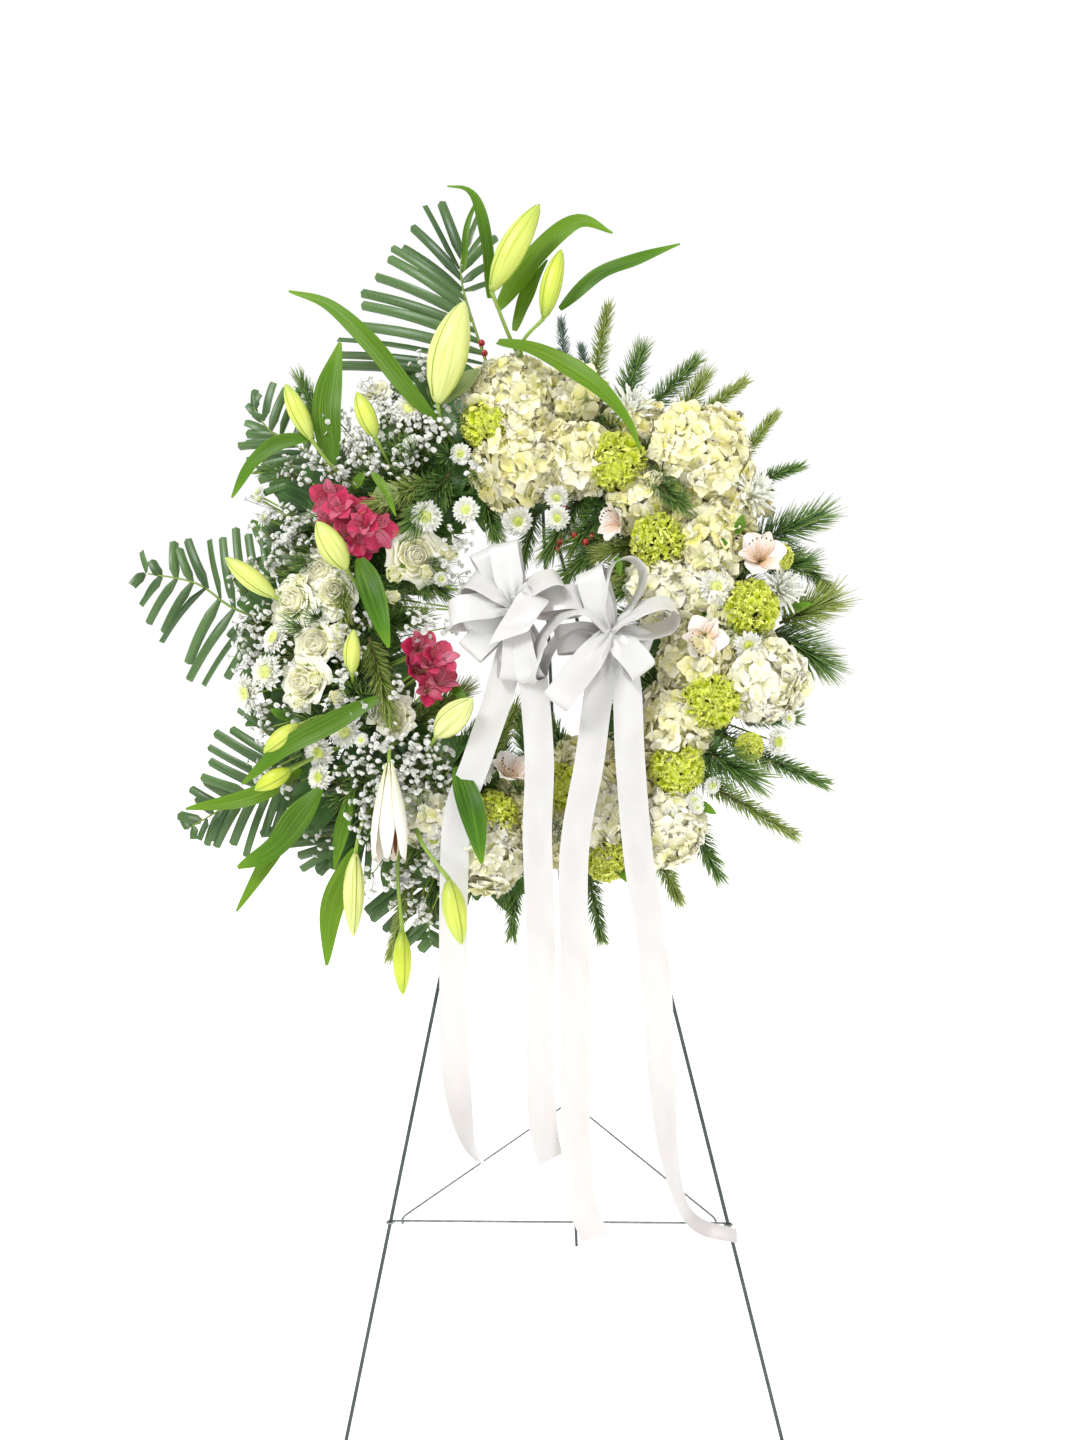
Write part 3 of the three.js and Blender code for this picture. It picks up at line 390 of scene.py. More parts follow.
def tissue(name, stops, other="#ffffff", changes=0.3, lines=9.0, line_depth=0.25, line_colour="#8a8a60",
           bump=0.25, roughness=0.5, specular=0.3, soft=0.12, sheen=0.0):
    """Living tissue: stops run from base to tip, other mixes in by chance, and veins run from base to tip."""
    tree = started(name)
    place = add(tree, "ShaderNodeAttribute", attribute_name="place")
    tone = add(tree, "ShaderNodeAttribute", attribute_name="tone")
    split = add(tree, "ShaderNodeSeparateXYZ", {"Vector": place.outputs["Vector"]})
    shifted = add(tree, "ShaderNodeMath", {0: split.outputs["Y"], 1: tone.outputs["Fac"]}, operation="ADD")
    ramp = add(tree, "ShaderNodeValToRGB", {"Fac": shifted.outputs[0]}, stops=stops)
    share = add(tree, "ShaderNodeMath", {0: split.outputs["Z"], 1: changes}, operation="MULTIPLY")
    varied = add(tree, "ShaderNodeMix", {0: share.outputs[0], 6: ramp.outputs["Color"], 7: linear(other)},
                 data_type="RGBA")
    grain = add(tree, "ShaderNodeVectorMath", {0: place.outputs["Vector"], 1: (lines, 1.3, 61.0)},
                operation="MULTIPLY")
    veins = add(tree, "ShaderNodeTexNoise", {"Vector": grain.outputs[0], "Scale": 1.0, "Detail": 3.0})
    edge = add(tree, "ShaderNodeMapRange", {"Value": veins.outputs["Fac"], "From Min": 0.5, "From Max": 0.72,
                                            "To Max": line_depth})
    veined = add(tree, "ShaderNodeMix", {0: edge.outputs[0], 6: varied.outputs[2], 7: linear(line_colour)},
                 data_type="RGBA")
    lift = add(tree, "ShaderNodeBump", {"Strength": bump, "Distance": 0.0006, "Height": veins.outputs["Fac"]})
    shader = add(tree, "ShaderNodeBsdfPrincipled", {
        "Base Color": veined.outputs[2], "Normal": lift.outputs[0], "Roughness": roughness,
        "Specular IOR Level": specular, "Subsurface Weight": soft, "Subsurface Scale": 0.008,
        "Subsurface Radius": (1.0, 1.0, 0.6), "Sheen Weight": sheen})
    add(tree, "ShaderNodeOutputMaterial", {"Surface": shader.outputs[0]})


# %% [markdown]
# Petal tissue. White and cream flowers are not white paper: they are
# green-yellow at the base, where they are youngest, and pale at the rim.
# In the hydrangeas this deep yellow-green base is also painted shade
# for the shadowed depths of their heads.

# %% Petal and leaf finishes
# Hydrangea sepals: the saturated yellow-green at the base is partly their own colour and partly painted shade, because
# the bases lie deep in the heads.
tissue("hydrangea_sepal", [(0.0, "#c8cf46"), (0.25, "#ede684"), (0.6, "#f9f2b0"), (1.0, "#fdf7cc")],
       other="#fffcec", changes=0.8, line_colour="#dcd680", line_depth=0.35)
tissue("white_hydrangea_sepal", [(0.0, "#d3d766"), (0.25, "#efebac"), (0.6, "#f8f4cc"), (1.0, "#fbf8de")],
       other="#fffef6", changes=0.7, line_colour="#e0dba4", line_depth=0.3)
tissue("lime_carnation_petal", [(0.0, "#b2c81a"), (0.45, "#d4e42c"), (0.8, "#e9f440"), (0.98, "#f8fc84")],
       other="#f2f85e", changes=0.5, line_colour="#c9da44", line_depth=0.3, roughness=0.6, soft=0.15)
tissue("cream_rose_petal", [(0.0, "#eef09a"), (0.4, "#fbf8c0"), (0.75, "#fffce0"), (1.0, "#fffdf0")],
       other="#fffef2", changes=0.6, lines=6.0, line_colour="#e4dca4", line_depth=0.2, soft=0.15)
tissue("pink_alstroemeria_tepal", [(0.0, "#dba07f"), (0.2, "#c02657"), (0.6, "#b30f3f"), (1.0, "#c92658")],
       other="#e0567f", changes=0.5, lines=7.0, line_colour="#8e1740", line_depth=0.5)
tissue("striped_pink_tepal", [(0.0, "#f0d9a0"), (0.35, "#e8829c"), (0.6, "#cd3a68"), (1.0, "#b11542")],
       other="#efa0b4", changes=0.4, lines=11.0, line_colour="#6d1030", line_depth=0.85)
tissue("white_alstroemeria_tepal", [(0.0, "#e7d6ae"), (0.3, "#f5e6dc"), (0.7, "#faf6ee"), (1.0, "#f3efdf")],
       other="#ffffff", changes=0.4, lines=5.0, line_colour="#e8c9c4", line_depth=0.35)
tissue("striped_white_tepal", [(0.0, "#e8c071"), (0.4, "#f3d3b6"), (0.7, "#f8efe2"), (1.0, "#f6f0e4")],
       other="#fff8f0", changes=0.3, lines=11.0, line_colour="#8c4a35", line_depth=0.8)
tissue("daisy_ray_petal", [(0.0, "#d8e08a"), (0.3, "#eff1d2"), (0.65, "#f6f6ec"), (1.0, "#f8f8f2")],
       other="#fcfcfa", changes=0.5, lines=4.0, line_colour="#cfd2c2", line_depth=0.3)
tissue("daisy_heart", [(0.0, "#b9c94a"), (0.5, "#d3dd6c"), (1.0, "#b8c848")],
       other="#e8eca0", changes=0.6, lines=22.0, line_colour="#8ea524", line_depth=0.5, bump=0.8, roughness=0.7)
tissue("spider_mum_petal", [(0.0, "#dfe8b0"), (0.3, "#f3f5e6"), (1.0, "#fbfbf8")],
       other="#ffffff", changes=0.4, lines=3.0, line_colour="#cdd2c0", line_depth=0.25)
tissue("gypsophila_petal", [(0.0, "#e4e8d2"), (0.4, "#f6f6f2"), (1.0, "#fdfdfd")],
       other="#e5e6dc", changes=0.6, lines=2.0, line_colour="#d3d4c3", line_depth=0.3, roughness=0.6)
tissue("lily_bud_skin", [(0.0, "#8ba824"), (0.15, "#b4c62a"), (0.6, "#c9d632"), (1.0, "#a0bc0e")],
       other="#eeeeb0", changes=0.8, lines=15.0, line_colour="#93a92d", line_depth=0.55, roughness=0.38, specular=0.5)
tissue("lily_seam", [(0.0, "#7f9a24"), (0.6, "#93ab2c"), (1.0, "#7c9a1c")], other="#b4bd5a", changes=0.5, soft=0.05)
tissue("open_lily_tepal", [(0.0, "#cfd48b"), (0.3, "#efebcb"), (0.75, "#faf5ea"), (1.0, "#efe2cf")],
       other="#ffffff", changes=0.3, lines=8.0, line_colour="#cbbd98", line_depth=0.45)
tissue("lily_leaf", [(0.0, "#3a6406"), (0.4, "#2a5403"), (0.8, "#3c6c05"), (1.0, "#5c860e")],
       other="#6a8f14", changes=0.6, lines=15.0, line_colour="#7fa436", line_depth=0.6,
       roughness=0.46, specular=0.25, soft=0.03)
tissue("dark_salal_leaf", [(0.0, "#24401a"), (0.5, "#2b4d1d"), (1.0, "#3a5f26")],
       other="#49702f", changes=0.6, lines=7.0, line_colour="#5b7f3c", line_depth=0.4, roughness=0.38, soft=0.03)
tissue("grey_green_leaf", [(0.0, "#7f9355"), (0.5, "#71874f"), (1.0, "#8c9c63")],
       other="#a9b77c", changes=0.4, lines=8.0, line_colour="#a7b585", line_depth=0.4, roughness=0.5, soft=0.05)
tissue("palm_leaflet", [(0.0, "#1c3a16"), (0.5, "#24461b"), (1.0, "#375c28")],
       other="#527a38", changes=0.6, lines=16.0, line_colour="#7c9160", line_depth=0.5,
       roughness=0.36, specular=0.5, soft=0.03)
tissue("green_stem", [(0.0, "#6f8a3a"), (0.6, "#86a544"), (1.0, "#9cb84e")],
       other="#6b7a3c", changes=0.5, lines=6.0, line_colour="#5f7a34", line_depth=0.3, roughness=0.45)
tissue("fine_brown_stem", [(0.0, "#5c6a34"), (1.0, "#7c8a4c")],
       other="#7a6a45", changes=0.6, lines=3.0, line_colour="#4f5a30", line_depth=0.3)
tissue("pine_needle", [(0.0, "#2f4d1a"), (0.5, "#4f742a"), (0.85, "#7d9c42"), (1.0, "#b0b768")],
       other="#4a6f3a", changes=0.8, lines=2.0, line_colour="#8fa45c", line_depth=0.3,
       roughness=0.45, specular=0.4, soft=0.0)
tissue("young_pine_needle", [(0.0, "#4f7429"), (0.5, "#7a9a3c"), (1.0, "#b3b76a")],
       other="#8f9a52", changes=0.7, lines=2.0, line_colour="#a5b36a", line_depth=0.3, soft=0.0)
tissue("blue_pine_needle", [(0.0, "#3e5a52"), (0.6, "#6a8379"), (1.0, "#93a598")],
       other="#58705f", changes=0.6, lines=2.0, line_colour="#a4b3a8", line_depth=0.3, soft=0.0)
tissue("twig_bark", [(0.0, "#5b4630"), (1.0, "#7d6a3f")],
       other="#6f7a3c", changes=0.5, lines=4.0, line_colour="#3d2f20", line_depth=0.5, bump=0.6, roughness=0.8, soft=0.0)
tissue("red_berry_skin", [(0.0, "#6d0d12"), (1.0, "#a51620")], other="#c22a2e", changes=0.5, roughness=0.25, specular=0.5)
tissue("lily_anther", [(0.0, "#7a3d1e"), (1.0, "#5c2a17")], other="#8f5a2c", changes=0.4, roughness=0.8, soft=0.0)
print(len(finishes), "finishes for tissue")

# %% [markdown]
# Satin ribbon is woven polyester: long smooth floats that shine along the
# ribbon, and fine ribs across it. Its numbers across and along are in
# millimetres, so the ribs keep their real size; they are drawn 1.1 mm
# apart, some three times coarser than the real weave, to be seen at all.

# %% Satin, wire, foam and tray
RIB_SPACING = 1.1

tree = started("white_satin_weave")
place = add(tree, "ShaderNodeAttribute", attribute_name="place")
ribs = add(tree, "ShaderNodeVectorMath", {0: place.outputs["Vector"], 1: (0.06, 1.0 / RIB_SPACING, 9.0)},
           operation="MULTIPLY")
threads = add(tree, "ShaderNodeTexNoise", {"Vector": ribs.outputs[0], "Scale": 1.0, "Detail": 2.0})
clouds = add(tree, "ShaderNodeVectorMath", {0: place.outputs["Vector"], 1: (0.03, 0.012, 5.0)},
             operation="MULTIPLY")
shade = add(tree, "ShaderNodeTexNoise", {"Vector": clouds.outputs[0], "Scale": 1.0, "Detail": 1.0})
body = add(tree, "ShaderNodeValToRGB", {"Fac": shade.outputs["Fac"]},
           stops=[(0.35, "#d6d5d2"), (0.7, "#ccc9c7")])
lined = add(tree, "ShaderNodeMapRange", {"Value": threads.outputs["Fac"], "From Min": 0.45, "From Max": 0.75,
                                         "To Max": 0.14})
cloth = add(tree, "ShaderNodeMix", {0: lined.outputs[0], 6: body.outputs["Color"], 7: linear("#bdb9b6")},
            data_type="RGBA")
lift = add(tree, "ShaderNodeBump", {"Strength": 0.06, "Distance": 0.0002, "Height": threads.outputs["Fac"]})
shader = add(tree, "ShaderNodeBsdfPrincipled", {
    "Base Color": cloth.outputs[2], "Normal": lift.outputs[0], "Roughness": 0.3, "Specular IOR Level": 0.6, "Coat Weight": 0.6, "Coat Roughness": 0.22,
    "Sheen Weight": 0.25, "Sheen Roughness": 0.3, "Subsurface Weight": 0.08, "Subsurface Scale": 0.003})
add(tree, "ShaderNodeOutputMaterial", {"Surface": shader.outputs[0]})


def solid_finish(name, stops, scale, roughness, metallic=0.0, bump=0.2, distance=0.0003, detail=4.0, specular=0.5,
                 glow=0.0):
    """A rigid surface: a noise of the given scale per metre colours it between stops and roughens it."""
    tree = started(name)
    where = add(tree, "ShaderNodeTexCoord")
    noise = add(tree, "ShaderNodeTexNoise", {"Vector": where.outputs["Object"], "Scale": scale, "Detail": detail})
    ramp = add(tree, "ShaderNodeValToRGB", {"Fac": noise.outputs["Fac"]}, stops=stops)
    rough = add(tree, "ShaderNodeMapRange", {"Value": noise.outputs["Fac"], "To Min": roughness[0],
                                             "To Max": roughness[1]})
    lift = add(tree, "ShaderNodeBump", {"Strength": bump, "Distance": distance, "Height": noise.outputs["Fac"]})
    shader = add(tree, "ShaderNodeBsdfPrincipled", {
        "Base Color": ramp.outputs["Color"], "Roughness": rough.outputs[0], "Metallic": metallic,
        "Normal": lift.outputs[0], "Specular IOR Level": specular, "Emission Color": (1.0, 1.0, 1.0, 1.0),
        "Emission Strength": glow})
    add(tree, "ShaderNodeOutputMaterial", {"Surface": shader.outputs[0]})


# Green enamel dipped over steel wire: thin and even, with a soft gloss.
solid_finish("green_enamelled_wire", [(0.3, "#2f3a37"), (0.7, "#48524f")], 60.0, (0.32, 0.5))
# Galvanised wire, drawn and then zinc dipped: dull silver with streaks.
solid_finish("galvanised_wire", [(0.3, "#6e7370"), (0.7, "#9aa09c")], 180.0, (0.35, 0.6), metallic=0.85)
# Wet phenolic foam: open cells a third of a millimetre across, drawn at 1.5 mm.
solid_finish("wet_floral_foam", [(0.3, "#2f5a33"), (0.7, "#4c7a45")], 650.0, (0.8, 0.95), bump=0.9, distance=0.001)
# Moulded fibre tray, waxed: brown-black, with short fibres.
solid_finish("waxed_fibre_tray", [(0.3, "#2a3027"), (0.7, "#3f463a")], 300.0, (0.6, 0.8), bump=0.5)
print(len(finishes), "finishes")

# %% [markdown]
# Hydrangea: a mop head of some sixty florets, each with four broad
# sepals round a bead. The florets sit on a low dome, spaced by the golden
# angle so that no two line up, over a green heart that stops the light.

# %% Hydrangeas
HYDRANGEAS = {
    # piece: (CAD node, finish, [(across, up, out, radius, greener)])
    "hydrangea_top": ("hydrangea_sepal", [(-10, 300, 88, 58, 0.0)]),
    "hydrangea_inner_top": ("hydrangea_sepal", [(-10, 206, 88, 54, 0.0)]),
    "hydrangea_upper_right": ("hydrangea_sepal", [(75, 213, 88, 47, 0.02), (70, 302, 80, 39, -0.18)]),
    "hydrangea_right_top": ("hydrangea_sepal", [(230, 215, 90, 68, 0.0)]),
    "hydrangea_inner_right": ("hydrangea_sepal", [(236, 100, 86, 50, 0.0), (152, 155, 84, 43, -0.03)]),
    "hydrangea_right": ("white_hydrangea_sepal", [(224, 22, 86, 46, 0.0), (176, 40, 86, 46, 0.0)]),
    "hydrangea_far_right": ("white_hydrangea_sepal", [(295, -75, 88, 55, 0.05)]),
    "hydrangea_lower_right": ("hydrangea_sepal", [(216, -48, 88, 49, 0.03), (178, -130, 88, 51, 0.05)]),
    "hydrangea_bottom_right": ("white_hydrangea_sepal", [(168, -258, 88, 50, 0.0), (91, -242, 84, 42, -0.05)]),
    "hydrangea_bottom": ("white_hydrangea_sepal", [(-55, -281, 88, 54, 0.0), (-122, -236, 84, 39, 0.0)]),
}
HYDRANGEAS["hydrangea_between"] = ("hydrangea_sepal", [(150, 258, 70, 40, -0.05), (26, 252, 74, 40, -0.08), (276, 160, 72, 38, 0.0),
                                                       (200, 128, 74, 36, -0.05), (262, -20, 74, 38, 0.0), (140, -200, 72, 38, 0.0),
                                                       (20, -262, 74, 40, 0.0), (60, -172, 66, 32, 0.0), (-4, -205, 70, 34, 0.0),
                                                       (108, -178, 68, 34, -0.05), (-88, -290, 72, 34, 0.05)])
SEPAL_LENGTH = 22.0


def florets(heads, finish, seed):
    """Sepals, beads and hearts for some heads: places on a dome by the golden angle, four sepals at each."""
    heads = np.asarray(heads, dtype=float)
    places, radii = heads[:, :3], heads[:, 3]
    head_axes = frames(looking(places))
    counts = (radii**2 / 88.0).astype(int) + 10
    head = np.repeat(np.arange(len(heads)), counts)
    order = np.concatenate([np.arange(n) for n in counts])
    share = (order + 0.5) / counts[head]
    count = len(head)
    rise = 1.0 - 1.42 * share
    turn = order * GOLDEN_ANGLE + scatter(-0.12, 0.12, count, seed)
    flat = np.sqrt(1.0 - rise**2)
    ball = np.stack([flat * np.cos(turn), flat * np.sin(turn), rise], -1)
    deep = 0.83 + scatter(-0.07, 0.07, count, seed + 1)
    spot = ball * radii[head][:, None] * deep[:, None] * [1.0, 1.0, 0.72]
    jitter = np.random.default_rng(seed + 2).normal(0.0, 0.2, (count, 3))
    floret_axes = frames(ball * [1.0, 1.0, 1.3] + jitter, scatter(0, math.pi, count, seed + 3))
    owner = np.repeat(np.arange(count), 4)
    four = 4 * count
    size = SEPAL_LENGTH * (0.85 + scatter(0.0, 0.3, count, seed + 4))[owner]
    fronts = petals(size * (0.88 + scatter(0, 0.24, four, seed + 5)), size * 1.1, rounded, (0.0, 0.3, 0.55, 0.8, 1.0), columns=7,
                    tilt=scatter(-0.05, 0.5, four, seed + 6), curl=scatter(-0.7, 0.35, four, seed + 7),
                    cup=scatter(-0.15, 0.3, four, seed + 8), wave=scatter(0.07, 0.16, four, seed + 9), waves=1.5,
                    phase=scatter(0, 6.3, four, seed + 10), blunt=0.2)
    fronts = around(fronts, np.tile(np.arange(4) * math.pi / 2, count) + scatter(-0.15, 0.15, four, seed + 11), 1.0)
    fronts = carried(fronts, owner, spot, floret_axes)
    fronts = carried(fronts, head[owner], places, head_axes)
    tone = heads[head, 4] - 0.22 * np.clip(share - 0.6, 0, 1) / 0.4 + scatter(-0.08, 0.08, count, seed + 12)
    parts = [blade_skin(fronts, 0.45, finish, scatter(0, 1, four, seed + 13), tone[owner])]
    beads = dome(np.full(count, 1.7), np.full(count, 1.9), 0.5, rows=4, sides=6)
    beads = carried(carried(beads, np.arange(count), spot, floret_axes), head, places, head_axes)
    parts.append(skin(beads, finish, scatter(0, 1, count, seed + 14), -0.55))
    # The heart takes the sepals' darkest green-yellow: this is partly the green of the stalks inside a head and partly
    # painted shade for its depths.
    hearts = carried(dome(radii * 0.74, radii * 0.52, 1.0), np.arange(len(heads)), places, head_axes)
    parts.append(skin(hearts, finish, 0.2, -0.75))
    return parts


def stalks(places, radius=2.4, seed=0):
    """A straight stem from each place into the foam behind it."""
    places = np.asarray(places, dtype=float)[:, :3]
    core = unit(places * [1.0, 1.0, 0.0]) * RING_MIDDLE
    foot = 0.35 * places * [1.0, 1.0, 0.0] + 0.65 * core + [0.0, 0.0, FOAM_FRONT - 14.0]
    s = np.linspace(0.0, 1.0, 4)[None, :, None]
    paths = foot[:, None] * (1 - s) + (places - [0.0, 0.0, 6.0])[:, None] * s
    return skin(tubes(paths, np.full(paths.shape[:2], radius)), "green_stem", scatter(0, 1, len(places), seed))


for number, (name, (finish, heads)) in enumerate(HYDRANGEAS.items()):
    parts = florets(heads, finish, 100 * number)
    parts.append(stalks(heads, seed=number))
    piece(name + "_florets", parts, () if name.endswith("between") else [name])

# %% [markdown]
# Carnation: about fifty petals out of one calyx. Each is a fan with a
# toothed, crimped edge, and together the edges make a ball.

# %% Carnations
CARNATIONS = {
    "carnation_top": (-40, 262, 103, 33), "carnation_upper_right": (122, 203, 103, 36),
    "carnation_inner_right": (170, 99, 103, 33), "carnation_right": (281, 10, 103, 34),
    "carnation_lower_right": (228, -103, 107, 34), "carnation_low_right": (185, -184, 104, 32),
    "carnation_bottom": (-43, -237, 100, 30), "carnation_inner_bottom": (45, -203, 90, 29),
}
EXTRA_CARNATIONS = [(96, -292, 84, 28), (237, 57, 96, 17), (321, 75, 92, 17), (274, -160, 96, 17)]
CARNATION_PETALS = 130


def carnations(rows, seed, tone=0.0):
    """Crimped limbs stand on edge all over a ball, each turned its own way, and the ball beneath them is their claws."""
    rows = np.asarray(rows, dtype=float)
    radius = rows[:, 3]
    facing = looking(rows[:, :3], 1.6)
    head_axes = frames(facing, scatter(0, 6, len(rows), seed + 7))
    owner = np.repeat(np.arange(len(rows)), CARNATION_PETALS)
    order = np.tile(np.arange(CARNATION_PETALS), len(rows))
    count = len(owner)
    size = radius[owner]
    rise = 1.0 - 1.45 * (order + 0.5) / CARNATION_PETALS
    turn = order * GOLDEN_ANGLE
    flat = np.sqrt(1.0 - rise**2)
    ball = np.stack([flat * np.cos(turn), flat * np.sin(turn), rise], -1)
    spot = ball * size[:, None] * [0.7, 0.7, 0.5]
    way = ball * [1.0, 1.0, 1.4] + np.random.default_rng(seed).normal(0.0, 0.22, (count, 3))
    fronts = petals(size * scatter(0.3, 0.42, count, seed + 1), size * scatter(0.42, 0.58, count, seed + 8), fan,
                    steps=(0.0, 0.55, 1.0), columns=11, tilt=1.5, curl=scatter(-0.9, 0.2, count, seed + 9),
                    wave=scatter(0.12, 0.2, count, seed + 2), waves=1.8, phase=scatter(0, 6.3, count, seed + 3), teeth=0.09,
                    blunt=0.12)
    fronts = carried(fronts, np.arange(count), spot, frames(way, scatter(0, 6.3, count, seed + 4)))
    fronts = carried(fronts, owner, rows[:, :3], head_axes)
    parts = [blade_skin(fronts, 0.5, "lime_carnation_petal", scatter(0, 1, count, seed + 5), tone)]
    hearts = carried(dome(radius * 0.76, radius * 0.56, 1.0, rows=8, sides=14), np.arange(len(rows)), rows[:, :3], head_axes)
    seat = rows[:, :3] - facing * radius[:, None] * 0.5
    cups = carried(dome(radius * 0.4, radius * 0.5, 1.4), np.arange(len(rows)), seat, head_axes)
    parts += [skin(hearts, "lime_carnation_petal", 0.3, 0.35), skin(cups, "green_stem", 0.5), stalks(seat, seed=seed)]
    return parts


for number, (name, row) in enumerate(CARNATIONS.items()):
    piece(name + "_petals", carnations([row], 3000 + 20 * number), [name])
piece("carnations_small", carnations(EXTRA_CARNATIONS, 3300, 0.15), ())

# %% [markdown]
# Spray rose: petals wrap round the axis like cups inside cups. The inner
# ones stand shut in a spiral, the outer ones open and roll back.

# %% Roses
ROSES_LEFT = [(-295, 40, 104, 25), (-240, 50, 104, 25), (-260, 80, 99, 23), (-265, -15, 104, 24), (-280, -65, 104, 26)]
ROSES_INNER = [(-135, 95, 98, 28), (-165, -110, 104, 22)]
ROSES_EXTRA = [(5, -245, 88, 27), (-190, 320, 86, 16), (-365, 245, 52, 12)]
ROSE_BUDS_LEFT = [(-287, 66, 104, 9), (-261, -62, 112, 10), (-234, -86, 110, 10), (-284, -92, 104, 9),
                  (-238, -19, 108, 9), (-229, 1, 108, 9)]
ROSE_BUDS_INNER = [(-92, 94, 104, 11), (-122, 70, 106, 8), (-162, 68, 106, 10), (-164, 40, 106, 9)]


def roses(rows, seed, petals_each=26, shut=1.0, tone=0.0):
    """Petal i wraps the axis at its own radius; its height falls and its rim rolls out towards the outside."""
    rows = np.asarray(rows, dtype=float)
    radius = rows[:, 3] * 1.1
    facing = looking(rows[:, :3], 1.2)
    seat = rows[:, :3] - facing * radius[:, None] * 0.45
    owner = np.repeat(np.arange(len(rows)), petals_each)
    order = np.tile(np.arange(petals_each), len(rows))
    share = ((order + 0.5) / petals_each)[:, None, None]
    count = len(owner)
    size = column(radius[owner])
    s = np.array([0.0, 0.3, 0.6, 0.85, 1.0])[None, :, None]
    t = np.linspace(-1.0, 1.0, 7)[None, None, :]
    reach = size * (0.09 + 0.86 * share**0.9)
    roll = np.clip(share - 0.2, 0, 1) * (0.8 + 0.5 * column(scatter(0, 1, count, seed))) * (2.0 - shut)
    belly = 0.55 + 0.5 * np.sin(math.pi * 0.62 * s)
    rho = reach * (belly + roll * 0.55 * s**4) * (1.0 - 0.18 * (1 - share) * s**2)
    turn = column(order * GOLDEN_ANGLE + scatter(-0.2, 0.2, count, seed + 1))
    width = (1.25 - 0.55 * share) * (0.55 + 0.5 * np.sin(math.pi * (0.15 + 0.7 * s)))
    ripple = 0.05 * np.sin(5.0 * t + column(scatter(0, 6.3, count, seed + 2))) * s**3
    height = size * ((0.98 - 0.42 * share) * (s - 0.16 * s**3 * t**2) - roll * 0.42 * s**5 + ripple)
    angle = turn - width * t
    wide = rho * (1.0 + 0.07 * t**2 * s + ripple)
    fronts = np.stack([wide * np.cos(angle), wide * np.sin(angle), height + 0 * angle], -1)
    fronts = carried(fronts, owner, seat, frames(facing, scatter(0, 6, len(rows), seed + 3)))
    parts = [blade_skin(fronts, 0.5, "cream_rose_petal", scatter(0, 1, count, seed + 4),
                        tone - 0.1 + 0.15 * share[:, 0, 0])]
    cups = carried(dome(radius * 0.5, radius * 0.35, 1.4), np.arange(len(rows)),
                   seat + facing * radius[:, None] * 0.1, frames(facing))
    sepal_owner = np.repeat(np.arange(len(rows)), 5)
    sepals = around(petals(radius[sepal_owner] * 0.95, radius[sepal_owner] * 0.4, lance, columns=3, tilt=0.5,
                           curl=0.5), np.tile(np.arange(5) * 1.2566, len(rows)), 0.3 * radius[sepal_owner])
    sepals = carried(sepals, sepal_owner, seat, frames(facing))
    hearts = carried(dome(radius * 0.56, radius * 0.62, 0.6, rows=7, sides=14), np.arange(len(rows)), seat, frames(facing))
    parts.append(skin(hearts, "cream_rose_petal", 0.5, 0.4))
    parts += [skin(cups, "green_stem", 0.4), blade_skin(sepals, 0.5, "green_stem", 0.5), stalks(seat, 1.6, seed)]
    return parts


piece("spray_roses_left", roses(ROSES_LEFT, 4000) + roses(ROSE_BUDS_LEFT, 4100, 12, 1.6, -0.3),
      ["spray_rose_left"])
piece("spray_roses_inner", roses(ROSES_INNER, 4200) + roses(ROSE_BUDS_INNER, 4300, 12, 1.6, -0.35),
      ["spray_rose_inner"])
piece("spray_roses_small", roses(ROSES_EXTRA, 4400), ())

# %% [markdown]
# Alstroemeria: three broad outer tepals and three slim inner ones with
# dark dashes, opening as a trumpet, with six stamens that curve upwards.

# %% Alstroemerias
ALSTROEMERIAS = {
    "alstroemeria_pink_upper": ("pink", [(-240, 165, 120, 29), (-210, 140, 128, 29), (-178, 122, 124, 28),
                                         (-213, 113, 120, 26), (-240, 138, 116, 24), (-226, 152, 134, 22),
                                         (-192, 128, 138, 22), (-200, 108, 112, 24), (-190, 150, 118, 22)]),
    "alstroemeria_pink_lower": ("pink", [(-125, -30, 124, 27), (-100, -42, 130, 26), (-100, -68, 124, 25),
                                         (-128, -55, 118, 22), (-112, -48, 136, 20), (-116, -80, 118, 22),
                                         (-134, -36, 112, 22)]),
    "alstroemeria_white": ("white", [(295, 74, 116, 34)]),
    "alstroemeria_extra": ("white", [(115, 124, 108, 27), (222, -30, 128, 30), (-15, -182, 112, 32)]),
}


